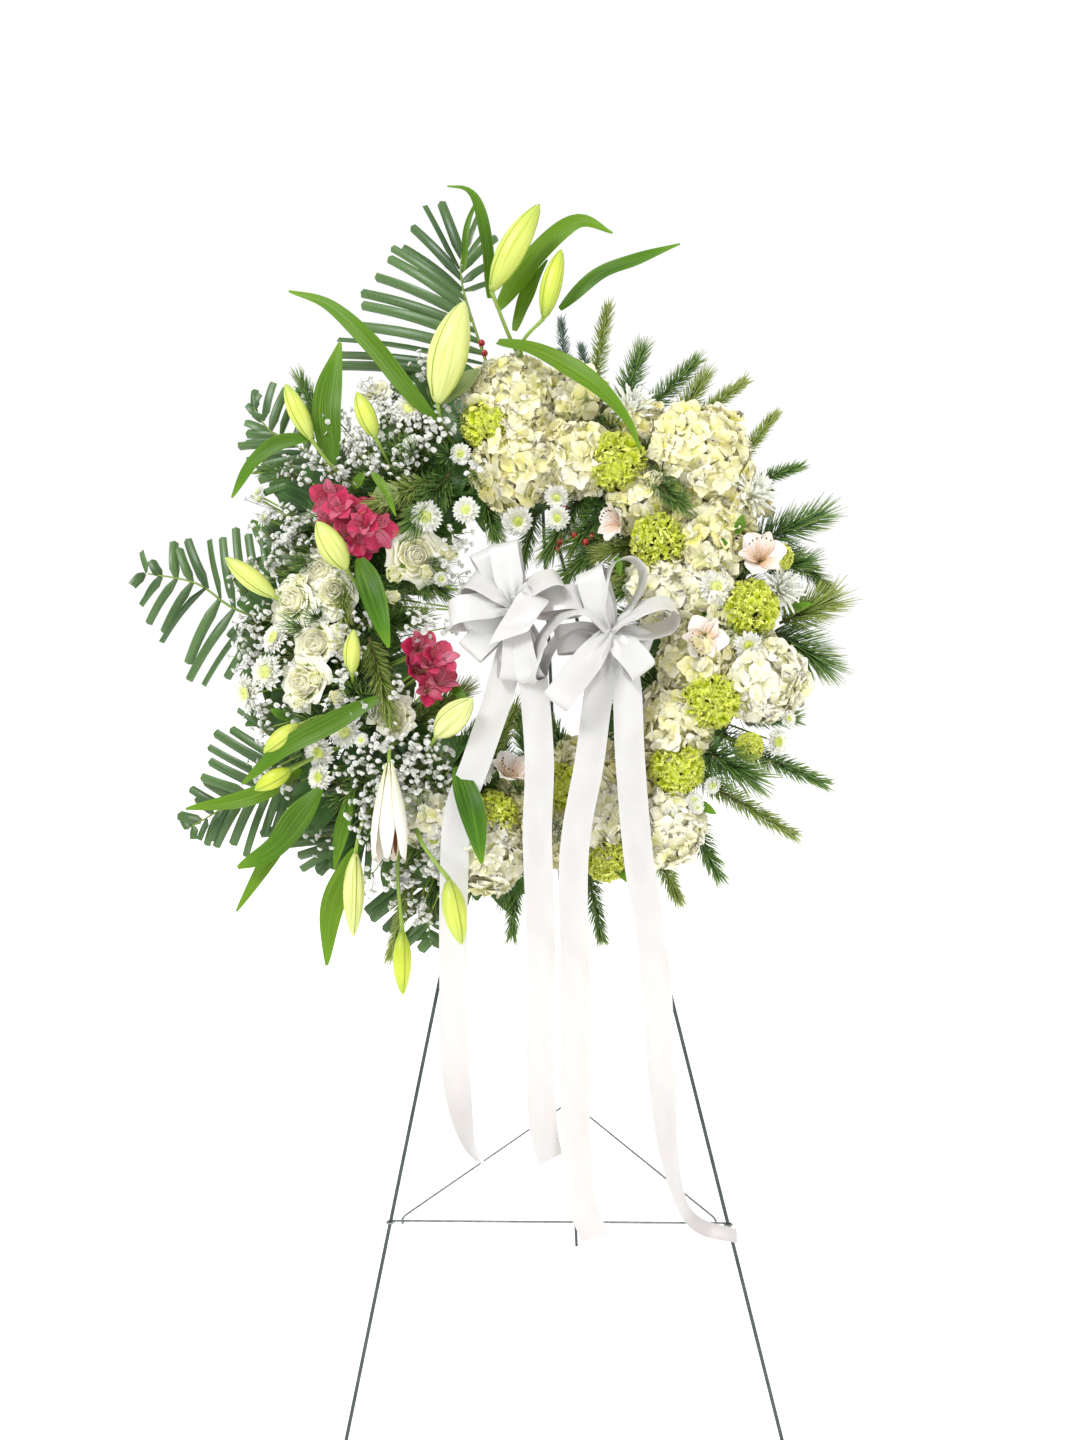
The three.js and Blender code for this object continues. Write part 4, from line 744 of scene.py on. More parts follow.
def alstroemerias(rows, colour, seed):
    """Six tepals a flower: even ones outer and broad, odd ones inner, slim and striped."""
    rows = np.asarray(rows, dtype=float)
    radius = rows[:, 3]
    facing = looking(rows[:, :3], 1.0)
    facing = unit(facing + np.random.default_rng(seed).normal(0.0, 0.22, facing.shape))
    seat = rows[:, :3] - facing * radius[:, None] * 0.7
    axes = frames(facing, scatter(0, 2, len(rows), seed + 1))
    parts = []
    for inner, finish in ((0, colour + "_alstroemeria_tepal"), (1, "striped_" + colour + "_tepal")):
        owner = np.repeat(np.arange(len(rows)), 3)
        count = len(owner)
        turn = np.tile(np.arange(3) * 2.0944, len(rows)) + inner * 1.0472
        size = radius[owner] * (1.28 + 0.04 * inner)
        fronts = petals(size * scatter(0.94, 1.05, count, seed + 2), size * (0.72 - 0.26 * inner), spoon,
                        steps=(0.0, 0.2, 0.42, 0.62, 0.8, 0.93, 1.0), columns=7,
                        tilt=1.2 + 0.1 * inner, curl=scatter(-1.1, -0.75, count, seed + 3 + inner),
                        cup=scatter(0.1, 0.25, count, seed + 4), wave=0.05, phase=scatter(0, 6, count, seed + 5),
                        blunt=0.08 + 0.04 * inner)
        fronts = carried(around(fronts, turn, 1.0, -0.5 * inner), owner, seat, axes)
        parts.append(blade_skin(fronts, 0.45, finish, scatter(0, 1, count, seed + 6)))
    owner = np.repeat(np.arange(len(rows)), 6)
    turn = np.tile(np.arange(6) * 0.35 - 0.9, len(rows)) + 1.6
    s = np.linspace(0.0, 1.0, 6)
    size = radius[owner][:, None]
    bow = np.stack([size * (0.05 + 0.45 * s**2) * np.cos(turn)[:, None], size * (0.05 + 0.45 * s**2) * np.sin(turn)[:, None],
                    size * 1.0 * s[None]], -1)
    wires = carried(bow[:, :, None], owner, seat, axes)[:, :, 0]
    parts.append(skin(tubes(wires, np.full(wires.shape[:2], 0.45), 4), "striped_" + colour + "_tepal", 0.5, 0.2))
    tips = np.stack([wires[:, -1], wires[:, -1] + 0.09 * size * axes[owner][:, :, 2]], 1)
    tips = tips[:, :1] + (tips[:, 1:] - tips[:, :1]) * np.linspace(-0.4, 1, 5)[None, :, None]
    parts.append(skin(tubes(tips, np.array([0.3, 0.9, 1.1, 0.9, 0.3]) * np.ones((len(tips), 1)), 6), "lily_anther", 0.4))
    parts.append(stalks(seat, 1.6, seed))
    return parts


for number, (name, (colour, rows)) in enumerate(ALSTROEMERIAS.items()):
    piece(name + "_flowers", alstroemerias(rows, colour, 5000 + 20 * number),
          () if name.endswith("extra") else [name])

# %% [markdown]
# Button daisies and spider chrysanthemums: ray petals in rings round a
# heart of tiny green tubes.

# %% Daisies and spider chrysanthemums
DAISIES_LEFT = [(-320, -5, 104, 20), (-330, -50, 104, 22), (-360, -75, 95, 22)]
DAISIES_LOWER = [(-260, -155, 109, 20), (-260, -185, 109, 17), (-225, -130, 113, 19)]
DAISIES = [(-140, 285, 113, 20), (-120, 140, 114, 19), (-140, 240, 110, 11), (-255, 160, 95, 18), (-55, -180, 118, 18),
           (-115, -265, 110, 16), (45, 160, 103, 15), (45, 135, 99, 15), (-5, 135, 92, 18), (-70, 150, 104, 16),
           (240, 35, 120, 21), (310, -155, 96, 16), (275, -40, 124, 16), (-355, 195, 68, 12), (205, -225, 112, 11),
           (175, -245, 122, 11), (-340, 160, 78, 12), (-65, 15, 132, 12), (150, 95, 112, 11), (-75, 220, 112, 13),
           (-346, 183, 84, 8), (-309, 125, 92, 9), (-71, 40, 112, 9), (-62, 18, 116, 9), (-203, -141, 116, 9),
           (323, -127, 100, 10), (227, -207, 112, 10), (207, -232, 112, 9), (-100, 59, 114, 9)]
SPIDER_MUMS = {"spider_mum_top": (145, 280, 100, 34), "spider_mum_right": (295, 160, 103, 36)}
SPIDER_EXTRA = (325, 35, 98, 30)
DAISY_RINGS = ((24, 1.0, 0.08), (22, 0.86, 0.36), (18, 0.68, 0.72))


def daisies(rows, seed):
    """Three rings of ray petals a flower, each ring shorter and steeper than the last, and a green heart."""
    rows = np.asarray(rows, dtype=float)
    radius = rows[:, 3] * 1.15
    facing = looking(rows[:, :3], 1.2)
    facing = unit(facing + np.random.default_rng(seed).normal(0.0, 0.15, facing.shape))
    seat = rows[:, :3] - facing * radius[:, None] * 0.2
    axes = frames(facing)
    parts = []
    for number, (count_each, long, tilt) in enumerate(DAISY_RINGS):
        owner = np.repeat(np.arange(len(rows)), count_each)
        count = len(owner)
        size = radius[owner]
        turn = np.tile(np.arange(count_each) * 2 * math.pi / count_each, len(rows)) + scatter(-0.09, 0.09, count, seed + number)
        fronts = petals(size * long * 0.78 * scatter(0.9, 1.08, count, seed + 3), size * 0.3, strap, columns=3,
                        tilt=tilt + scatter(-0.1, 0.12, count, seed + 4), curl=-0.25, cup=0.3, blunt=0.12)
        fronts = carried(around(fronts, turn, size * 0.22), owner, seat, axes)
        parts.append(blade_skin(fronts, 0.35, "daisy_ray_petal", scatter(0, 1, count, seed + 5), -0.08 * number))
    hearts = dome(radius * 0.34, radius * 0.26, 0.5, rows=8, sides=14)
    bumps = 1.0 + 0.05 * np.sin(np.arange(8) * 2.9)[None, :, None, None] * np.cos(np.arange(14) * 3.1)[None, None, :, None]
    parts.append(skin(carried(hearts * bumps, np.arange(len(rows)), seat, axes), "daisy_heart",
                      scatter(0, 1, len(rows), seed + 6)))
    parts.append(stalks(seat, 1.3, seed))
    return parts


def spider_mums(rows, seed, petals_each=58):
    """Long rolled petals from upright to level, each bending its own way."""
    rows = np.asarray(rows, dtype=float)
    radius = rows[:, 3]
    facing = looking(rows[:, :3], 1.0)
    seat = rows[:, :3] - facing * radius[:, None] * 0.4
    axes = frames(facing)
    owner = np.repeat(np.arange(len(rows)), petals_each)
    order = np.tile(np.arange(petals_each), len(rows))
    share = (order + 0.5) / petals_each
    count = len(owner)
    size = radius[owner]
    fronts = petals(size * (0.5 + 0.62 * share**0.6) * scatter(0.85, 1.1, count, seed), size * 0.15, strap,
                    steps=(0.0, 0.25, 0.5, 0.75, 0.92, 1.0), columns=3, tilt=1.45 - 1.3 * share,
                    curl=scatter(-0.5, 0.7, count, seed + 1), cup=0.45, blunt=0.05)
    fronts = carried(around(fronts, order * GOLDEN_ANGLE, 0.08 * size), owner, seat, axes)
    hearts = carried(dome(radius * 0.2, radius * 0.3, 1.0), np.arange(len(rows)), seat, axes)
    return [blade_skin(fronts, 0.5, "spider_mum_petal", scatter(0, 1, count, seed + 2), -0.25 * (1 - share)),
            skin(hearts, "daisy_heart", 0.5), stalks(seat, 1.8, seed)]


piece("daisies_left", daisies(DAISIES_LEFT, 6000), ["daisy_left"])
piece("daisies_lower_left", daisies(DAISIES_LOWER, 6020), ["daisy_lower_left"])
piece("daisies_all_round", daisies(DAISIES, 6040), ())
for number, (name, row) in enumerate(SPIDER_MUMS.items()):
    piece(name + "_petals", spider_mums([row], 6100 + 10 * number), [name])
piece("spider_mum_extra", spider_mums([SPIDER_EXTRA], 6130), ())

# %% [markdown]
# Gypsophila: hundreds of double white flowers, 5 to 7 mm across, on stems
# as fine as thread. Each is a handful of small petals, so it stays cheap.

# %% Gypsophila
GYPSOPHILA = [
    # across, up, out, spread, flowers
    (-150, -178, 122, 42, 62), (-118, -152, 124, 32, 40), (-180, -205, 116, 34, 40), (-100, -190, 120, 22, 22),
    (-205, -226, 104, 30, 26), (-172, -142, 124, 24, 22), (-123, 4, 124, 24, 24), (-88, -2, 126, 14, 10),
    (-205, 234, 112, 24, 34), (-188, 212, 116, 20, 22), (-150, 262, 110, 24, 20), (-105, 256, 122, 24, 34),
    (-120, 232, 124, 20, 18), (-165, 290, 100, 22, 16), (-80, 110, 106, 20, 20), (-95, 78, 108, 20, 16),
    (-350, 5, 92, 28, 30), (-362, -30, 88, 22, 22), (-330, 28, 100, 20, 16), (-290, 150, 96, 24, 14),
    (-322, 92, 90, 26, 14), (-153, -75, 124, 18, 12), (-228, -66, 116, 16, 8), (-300, -30, 112, 16, 8),
    (-190, -245, 104, 26, 18), (-262, 118, 100, 18, 8), (-240, -100, 112, 14, 6), (-75, 60, 110, 14, 8),
]
GYPSOPHILA_PETALS = 7
SMALL_SPRAYS = 150


def gypsophila(rows, seed):
    """Flowers fall in a flattened ball round each branching point, and a thread runs from it to each of them."""
    rows = np.asarray(rows, dtype=float)
    owner = np.repeat(np.arange(len(rows)), rows[:, 4].astype(int))
    count = len(owner)
    loose = np.random.default_rng(seed).normal(0.0, 0.5, (count, 3)) * [1.0, 1.0, 0.55]
    loose = loose / np.maximum(1.0, np.linalg.norm(loose, axis=1, keepdims=True))
    spot = rows[owner, :3] + loose * rows[owner, 3:4]
    root = rows[owner, :3] - looking(rows[owner, :3]) * rows[owner, 3:4] * 1.1
    axes = frames(spot - root + np.random.default_rng(seed + 1).normal(0, 8, (count, 3)))
    size = scatter(3.4, 5.2, count, seed + 2)
    petal_owner = np.repeat(np.arange(count), GYPSOPHILA_PETALS)
    order = np.tile(np.arange(GYPSOPHILA_PETALS), count)
    many = len(petal_owner)
    big = size[petal_owner]
    fronts = petals(big * (1.0 - 0.05 * order), big * 1.45, rounded, steps=(0.0, 0.55, 1.0), columns=3,
                    tilt=0.05 + 0.13 * order + scatter(-0.15, 0.15, many, seed + 3), curl=0.3, cup=0.25, blunt=0.2)
    fronts = carried(around(fronts, order * GOLDEN_ANGLE, 0.2), petal_owner, spot, axes)
    bend = np.linspace(0.0, 1.0, 4)[None, :, None]
    threads = root[:, None] * (1 - bend) + spot[:, None] * bend + np.sin(math.pi * bend) * loose[:, None] * 4.0
    return [blade_skin(fronts, 0.3, "gypsophila_petal", scatter(0, 1, many, seed + 4), 0.0),
            skin(tubes(threads, np.full(threads.shape[:2], 0.35), 4), "fine_brown_stem", scatter(0, 1, count, seed + 5)),
            stalks(rows[:, :3] - looking(rows[:, :3]) * rows[:, 3:4], 0.9, seed)]


KEEP_CLEAR = np.array(ROSES_LEFT + ROSES_INNER + DAISIES_LEFT + DAISIES_LOWER + ALSTROEMERIAS["alstroemeria_pink_upper"][1]
                      + ALSTROEMERIAS["alstroemeria_pink_lower"][1], dtype=float)
turn = np.radians(scatter(96, 252, SMALL_SPRAYS, 7100))
reach = 200.0 + 180.0 * scatter(0, 1, SMALL_SPRAYS, 7101) ** 0.85
small_sprays = np.stack([reach * np.cos(turn), reach * np.sin(turn), 118.0 - 0.16 * (reach - RING_MIDDLE) + scatter(-12, 6, SMALL_SPRAYS, 7102),
                         scatter(13, 21, SMALL_SPRAYS, 7103), scatter(7, 13, SMALL_SPRAYS, 7104)], -1)
gap = np.linalg.norm(small_sprays[:, None, :2] - KEEP_CLEAR[None, :, :2], axis=-1) - KEEP_CLEAR[None, :, 3]
small_sprays = small_sprays[gap.min(axis=1) > 6.0]
piece("gypsophila_sprays", gypsophila(GYPSOPHILA + small_sprays.tolist(), 7000), ["gypsophila"])

# %% [markdown]
# Lilies: shut buds on long stems, with three ribs where the outer tepals
# meet, one flower that is just opening, and lance-shaped leaves with
# parallel veins that arch over the other flowers.

# %% Lily buds
LILY_BUDS = {
    # piece: [(base, tip, radius, paleness, stem points before the base)]
    "lily_top": [((-30, 425, 128), (35, 525, 148), 20, 0.0, [(22, 318, 60), (-8, 370, 100)]),
                 ((35, 390, 118), (60, 475, 128), 15, -0.1, [(8, 325, 70), (5, 362, 105)]),
                 ((-100, 280, 133), (-60, 395, 163), 28, 0.25, [(-85, 238, 60), (-98, 262, 110)])],
    "lily_upper_left": [((-265, 245, 118), (-295, 315, 133), 14, 0.0, [(-190, 170, 60), (-240, 212, 104)]),
                        ((-180, 240, 128), (-200, 295, 143), 14, -0.05, [(-160, 190, 60), (-172, 222, 105)])],
    "lily_left": [((-215, 70, 138), (-245, 125, 163), 19, 0.15, [(-212, 40, 60), (-208, 55, 112)]),
                  ((-315, 45, 108), (-375, 95, 123), 15, 0.1, [(-240, 20, 60), (-285, 26, 94)]),
                  ((-210, -60, 133), (-203, -8, 150), 12, 0.05, [(-225, -70, 60), (-214, -68, 110)])],
    "lily_lower_left": [((-280, -120, 118), (-322, -155, 128), 14, -0.05, [(-225, -105, 60), (-258, -108, 100)]),
                        ((-290, -175, 118), (-333, -200, 128), 13, -0.15, [(-215, -135, 60), (-262, -158, 100)]),
                        ((-215, -280, 98), (-217, -382, 100), 15, 0.3, [(-175, -190, 60), (-205, -240, 96)])],
    "lily_bottom": [((-105, -140, 136), (-55, -100, 170), 20, 0.4, [(-140, -190, 60), (-122, -160, 110)]),
                    ((-155, -375, 105), (-155, -452, 105), 13, -0.15, [(-150, -215, 60), (-160, -290, 104)]),
                    ((-90, -312, 148), (-75, -388, 150), 16, -0.05, [(-150, -230, 66), (-125, -268, 132)])],
}
BUD_SHAPE = ((0.0, 0.2), (0.06, 0.42), (0.2, 0.78), (0.36, 0.98), (0.48, 1.0), (0.64, 0.9), (0.8, 0.66), (0.92, 0.36),
             (0.98, 0.16), (1.0, 0.05))


def buds(rows):
    """A bud's radius follows its profile from base to tip, with three grooves. Gives its rings, and the darker seams in the grooves."""
    base, tip = (np.array([row[n] for row in rows], dtype=float) for n in (0, 1))
    radius = np.array([row[2] for row in rows], dtype=float) * 0.88
    s = np.linspace(0.0, 1.0, 22)
    bend = np.sin(math.pi * s)[None, :, None] * np.array([0.0, 0.0, 0.05]) * np.linalg.norm(tip - base, axis=1)[:, None, None]
    paths = base[:, None] + (tip - base)[:, None] * s[None, :, None] + bend
    profile = np.interp(s, *np.array(BUD_SHAPE).T)
    rings = tubes(paths, radius[:, None] * profile[None], 24)
    turn = 2.0 * math.pi * np.arange(24) / 24
    ribs = 1.0 + 0.05 * np.cos(3 * turn) - 0.06 * np.exp(-((np.mod(3 * turn + math.pi, 2 * math.pi) - math.pi) / 0.35) ** 2)
    ribs = 1.0 + (ribs - 1.0)[None, None, :] * np.sin(math.pi * np.clip(s, 0.05, 1))[None, :, None] ** 0.5
    middle = paths[:, :, None]
    rings = middle + (rings - middle) * ribs[..., None]
    seams = rings[:, 1:-1, 4::8].transpose(0, 2, 1, 3).reshape(-1, 20, 3)
    return rings, tubes(seams, np.linspace(0.9, 0.45, 20)[None] * np.ones((len(seams), 1)), 5)


def lily_stems(rows, count=14):
    """A stem from the foam, through its own points, to the bud's base, thinner towards the bud."""
    paths = np.stack([curve([*row[4], row[0]], count) for row in rows])
    radii = np.linspace(3.0, 2.1, count)[None] * np.ones((len(rows), 1))
    radii[:, -2:] = np.array([2.6, 3.0])
    return skin(tubes(paths, radii, 8), "green_stem", scatter(0, 1, len(rows), 77))


def opening_lily(base, mouth, radius, seed):
    """Six tepals that still make a tube, with their tips parted at the mouth and brown anthers in it."""
    base, mouth = (np.asarray([v], dtype=float) for v in (base, mouth))
    axes = frames(mouth - base)
    long = float(np.linalg.norm(mouth - base))
    turn = np.arange(6) * math.pi / 3
    inner = np.arange(6) % 2
    s = np.linspace(0.0, 1.0, 14)[None, :, None]
    t = np.linspace(-1.0, 1.0, 7)[None, None, :]
    rho = radius * (0.22 + 0.9 * np.sin(math.pi * 0.62 * s) ** 1.1 - 0.12 * column(inner)) * (1 - 0.05 * t**2)
    spread = (0.62 + 0 * s) * np.sin(math.pi * (0.2 + 0.75 * s)) ** 0.6
    angle = column(turn) - spread * t
    z = long * (s - 0.04 * t**2 * s) + 0 * angle
    fronts = np.stack([rho * np.cos(angle), rho * np.sin(angle), z], -1)
    fronts = carried(fronts, np.zeros(6, dtype=int), base, axes)
    reach = np.linspace(0.72, 1.0, 5)[None, :, None]
    tips = np.stack([0.35 * radius * np.cos(turn)[:, None] + 0 * reach[..., 0], 0.35 * radius * np.sin(turn)[:, None] + 0 * reach[..., 0],
                     long * reach[..., 0] * (0.93 + 0.03 * inner[:, None])], -1)
    tips = carried(tips[:, :, None], np.zeros(6, dtype=int), base, axes)[:, :, 0]
    shape = np.array([0.3, 1.6, 2.0, 1.6, 0.3]) * np.ones((6, 1))
    return [blade_skin(fronts, 0.8, "open_lily_tepal", scatter(0, 1, 6, seed)),
            skin(tubes(tips, shape, 6), "lily_anther", 0.5)]


# %% Leaves
LEAVES = {
    # piece: [(points, width, finish, turn towards the left)]
    "lily_top": [
        ([(-35, 425, 110), (-35, 480, 120), (-45, 540, 125), (-60, 565, 125), (-86, 575, 120)], 22, "lily_leaf", 0.5),
        ([(-25, 415, 100), (25, 480, 105), (80, 520, 110), (125, 500, 115)], 36, "lily_leaf", 0.2),
        ([(55, 410, 100), (105, 450, 105), (155, 465, 110), (210, 480, 115)], 24, "lily_leaf", 0.3),
        ([(-105, 265, 110), (-140, 305, 120), (-185, 365, 125), (-240, 420, 125), (-295, 445, 120)], 30, "lily_leaf", -0.4),
        ([(-25, 365, 112), (30, 335, 142), (95, 285, 157), (135, 235, 162), (150, 200, 157)], 33, "lily_leaf", 0.3),
        ([(-105, 288, 117), (-72, 305, 124), (-48, 326, 122)], 36, "grey_green_leaf", 0.0),
        ([(-70, 475, 90), (-65, 530, 95), (-50, 572, 95)], 11, "lily_leaf", 0.2),
        ([(-5, 390, 88), (15, 440, 92), (40, 480, 96)], 26, "lily_leaf", -0.3),
    ],
    "lily_upper_left": [
        ([(-245, 220, 96), (-248, 295, 106), (-230, 377, 110)], 46, "lily_leaf", 0.1),
        ([(-262, 250, 115), (-305, 240, 125), (-340, 215, 125), (-370, 175, 115)], 25, "lily_leaf", 0.2),
        ([(-188, 200, 118), (-168, 172, 127), (-155, 138, 127)], 14, "lily_leaf", 0.0),
    ],
    "lily_left": [([(-200, 85, 130), (-180, 35, 147), (-160, -32, 150)], 38, "lily_leaf", 0.15)],
    "lily_lower_left": [
        ([(-180, -90, 122), (-235, -120, 132), (-295, -150, 132), (-352, -192, 120)], 32, "lily_leaf", 0.3),
        ([(-255, -200, 112), (-278, -232, 117), (-312, -272, 116), (-362, -295, 105)], 44, "lily_leaf", -0.2),
        ([(-275, -210, 96), (-325, -285, 96), (-370, -350, 86)], 26, "lily_leaf", 0.2),
        ([(-215, -275, 94), (-243, -345, 100), (-252, -417, 95)], 36, "lily_leaf", 0.1),
        ([(-285, -175, 92), (-350, -207, 92), (-440, -220, 80)], 28, "lily_leaf", 0.3),
        ([(-220, -200, 92), (-232, -250, 94), (-245, -300, 86)], 24, "lily_leaf", 0.0),
    ],
    "lily_bottom": [([(-80, -178, 138), (-60, -235, 152), (-50, -294, 150)], 38, "lily_leaf", 0.2)],
}
SMALL_LEAVES = [((267, 102, 112), (0.3, 0.8), 26, 13), ((252, 77, 112), (-0.2, 0.9), 24, 12), ((222, 7, 112), (0.5, -0.7), 26, 12),
                ((120, 82, 100), (0.1, -1.0), 26, 10), ((-90, -75, 112), (0.6, -0.6), 30, 14), ((-215, 185, 100), (0.5, 0.6), 28, 14),
                ((60, 140, 88), (-0.8, 0.3), 24, 11), ((330, 10, 84), (0.9, 0.2), 30, 13), ((-300, -110, 96), (-0.7, 0.4), 28, 13),
                ((110, -300, 90), (0.4, -0.8), 26, 12), ((206, -226, 100), (0.8, -0.5), 30, 13), ((-20, 255, 104), (-0.3, -0.9), 20, 10)]
ROUND_LEAF = ((-171, 168, 122), 17)
LEAF_ROWS = 26


def leaves(rows, seed):
    """Each leaf follows its own points; its front looks outwards, turned a little to one side, and its margins ripple."""
    paths = np.stack([curve(row[0], LEAF_ROWS) for row in rows])
    widths = np.array([row[1] for row in rows], dtype=float) * 0.84
    facing = np.stack([[row[3], 0.15, 1.0] for row in rows])[:, None]
    count = len(rows)
    fronts = blades(paths, widths, facing, lance, fold=0.22, wave=0.16, waves=1.6, phase=scatter(0, 6, count, seed), columns=9)
    return [blade_skin(fronts[[n]], 0.7, row[2], scatter(0, 1, count, seed + 1)[[n]]) for n, row in enumerate(rows)]


for name, rows in LILY_BUDS.items():
    paleness = np.array([row[3] for row in rows])
    rings, seams = buds(rows)
    parts = [skin(rings, "lily_bud_skin", np.clip(paleness * 1.6 + 0.3, 0, 1), paleness * 0.3), lily_stems(rows)]
    parts.append(skin(seams, "lily_seam", 0.5))
    parts += leaves(LEAVES[name], 8000 + 10 * len(name))
    if name == "lily_bottom":
        parts += opening_lily((-163, -172, 136), (-160, -288, 148), 20, 8900)
        parts.append(skin(tubes(curve([(-160, -140, 60), (-165, -150, 120), (-163, -174, 137)], 8)[None], np.full((1, 8), 2.4), 8), "green_stem", 0.5))
    piece(name + "_stem_and_buds", parts, [name])

# %% Small leaves
base = np.array([row[0] for row in SMALL_LEAVES], dtype=float)
heading = np.array([[*row[1], 0.35] for row in SMALL_LEAVES])
long = np.array([row[2] for row in SMALL_LEAVES], dtype=float)
s = np.linspace(0.0, 1.0, 10)[None, :, None]
paths = base[:, None] + unit(heading)[:, None] * (long[:, None, None] * s) - [0.0, 0.0, 5.0] * s**2
fronts = blades(paths, [row[3] for row in SMALL_LEAVES], [[[0.1, 0.1, 1.0]]], lance, fold=0.25, wave=0.1, columns=5)
parts = [blade_skin(fronts, 0.5, "lily_leaf", scatter(0, 1, len(base), 8950))]
place, radius = ROUND_LEAF
turning = curve([(place[0] - radius, place[1] - 4, 112), place, (place[0] + radius, place[1] + 6, 116)], 14)
fronts = blades(turning[None], [2 * radius], [[[0.1, 0.2, 1.0]]], lambda s: np.sin(math.pi * (0.03 + 0.94 * s)) ** 0.5, fold=0.1, columns=9)
parts.append(blade_skin(fronts, 0.6, "grey_green_leaf", 0.8, 0.3))
piece("small_leaves", parts, ())

# %% Red berries
BERRIES = [(-49, 378, 84), (-45, 363, 86), (54, 152, 90), (47, 109, 84), (66, 116, 86), (80, 107, 84), (88, 114, 82), (44, 99, 84)]
berries = np.array(BERRIES, dtype=float)
size = scatter(4.0, 5.4, len(berries), 8970)
balls = carried(dome(size, size, 1.5, rows=9, sides=12), np.arange(len(berries)), berries, frames(looking(berries)))
piece("red_berries", [skin(balls, "red_berry_skin", scatter(0, 1, len(berries), 8971)), stalks(berries, 0.9, 8972)], ())

# %% [markdown]
# Pine: twigs of bark set all round with needles. A needle leaves its twig
# at an angle that closes towards the tip, as on a living branch. Short
# tufts of the same needles fill the ring behind the flowers, so that no
# foam shows between them.

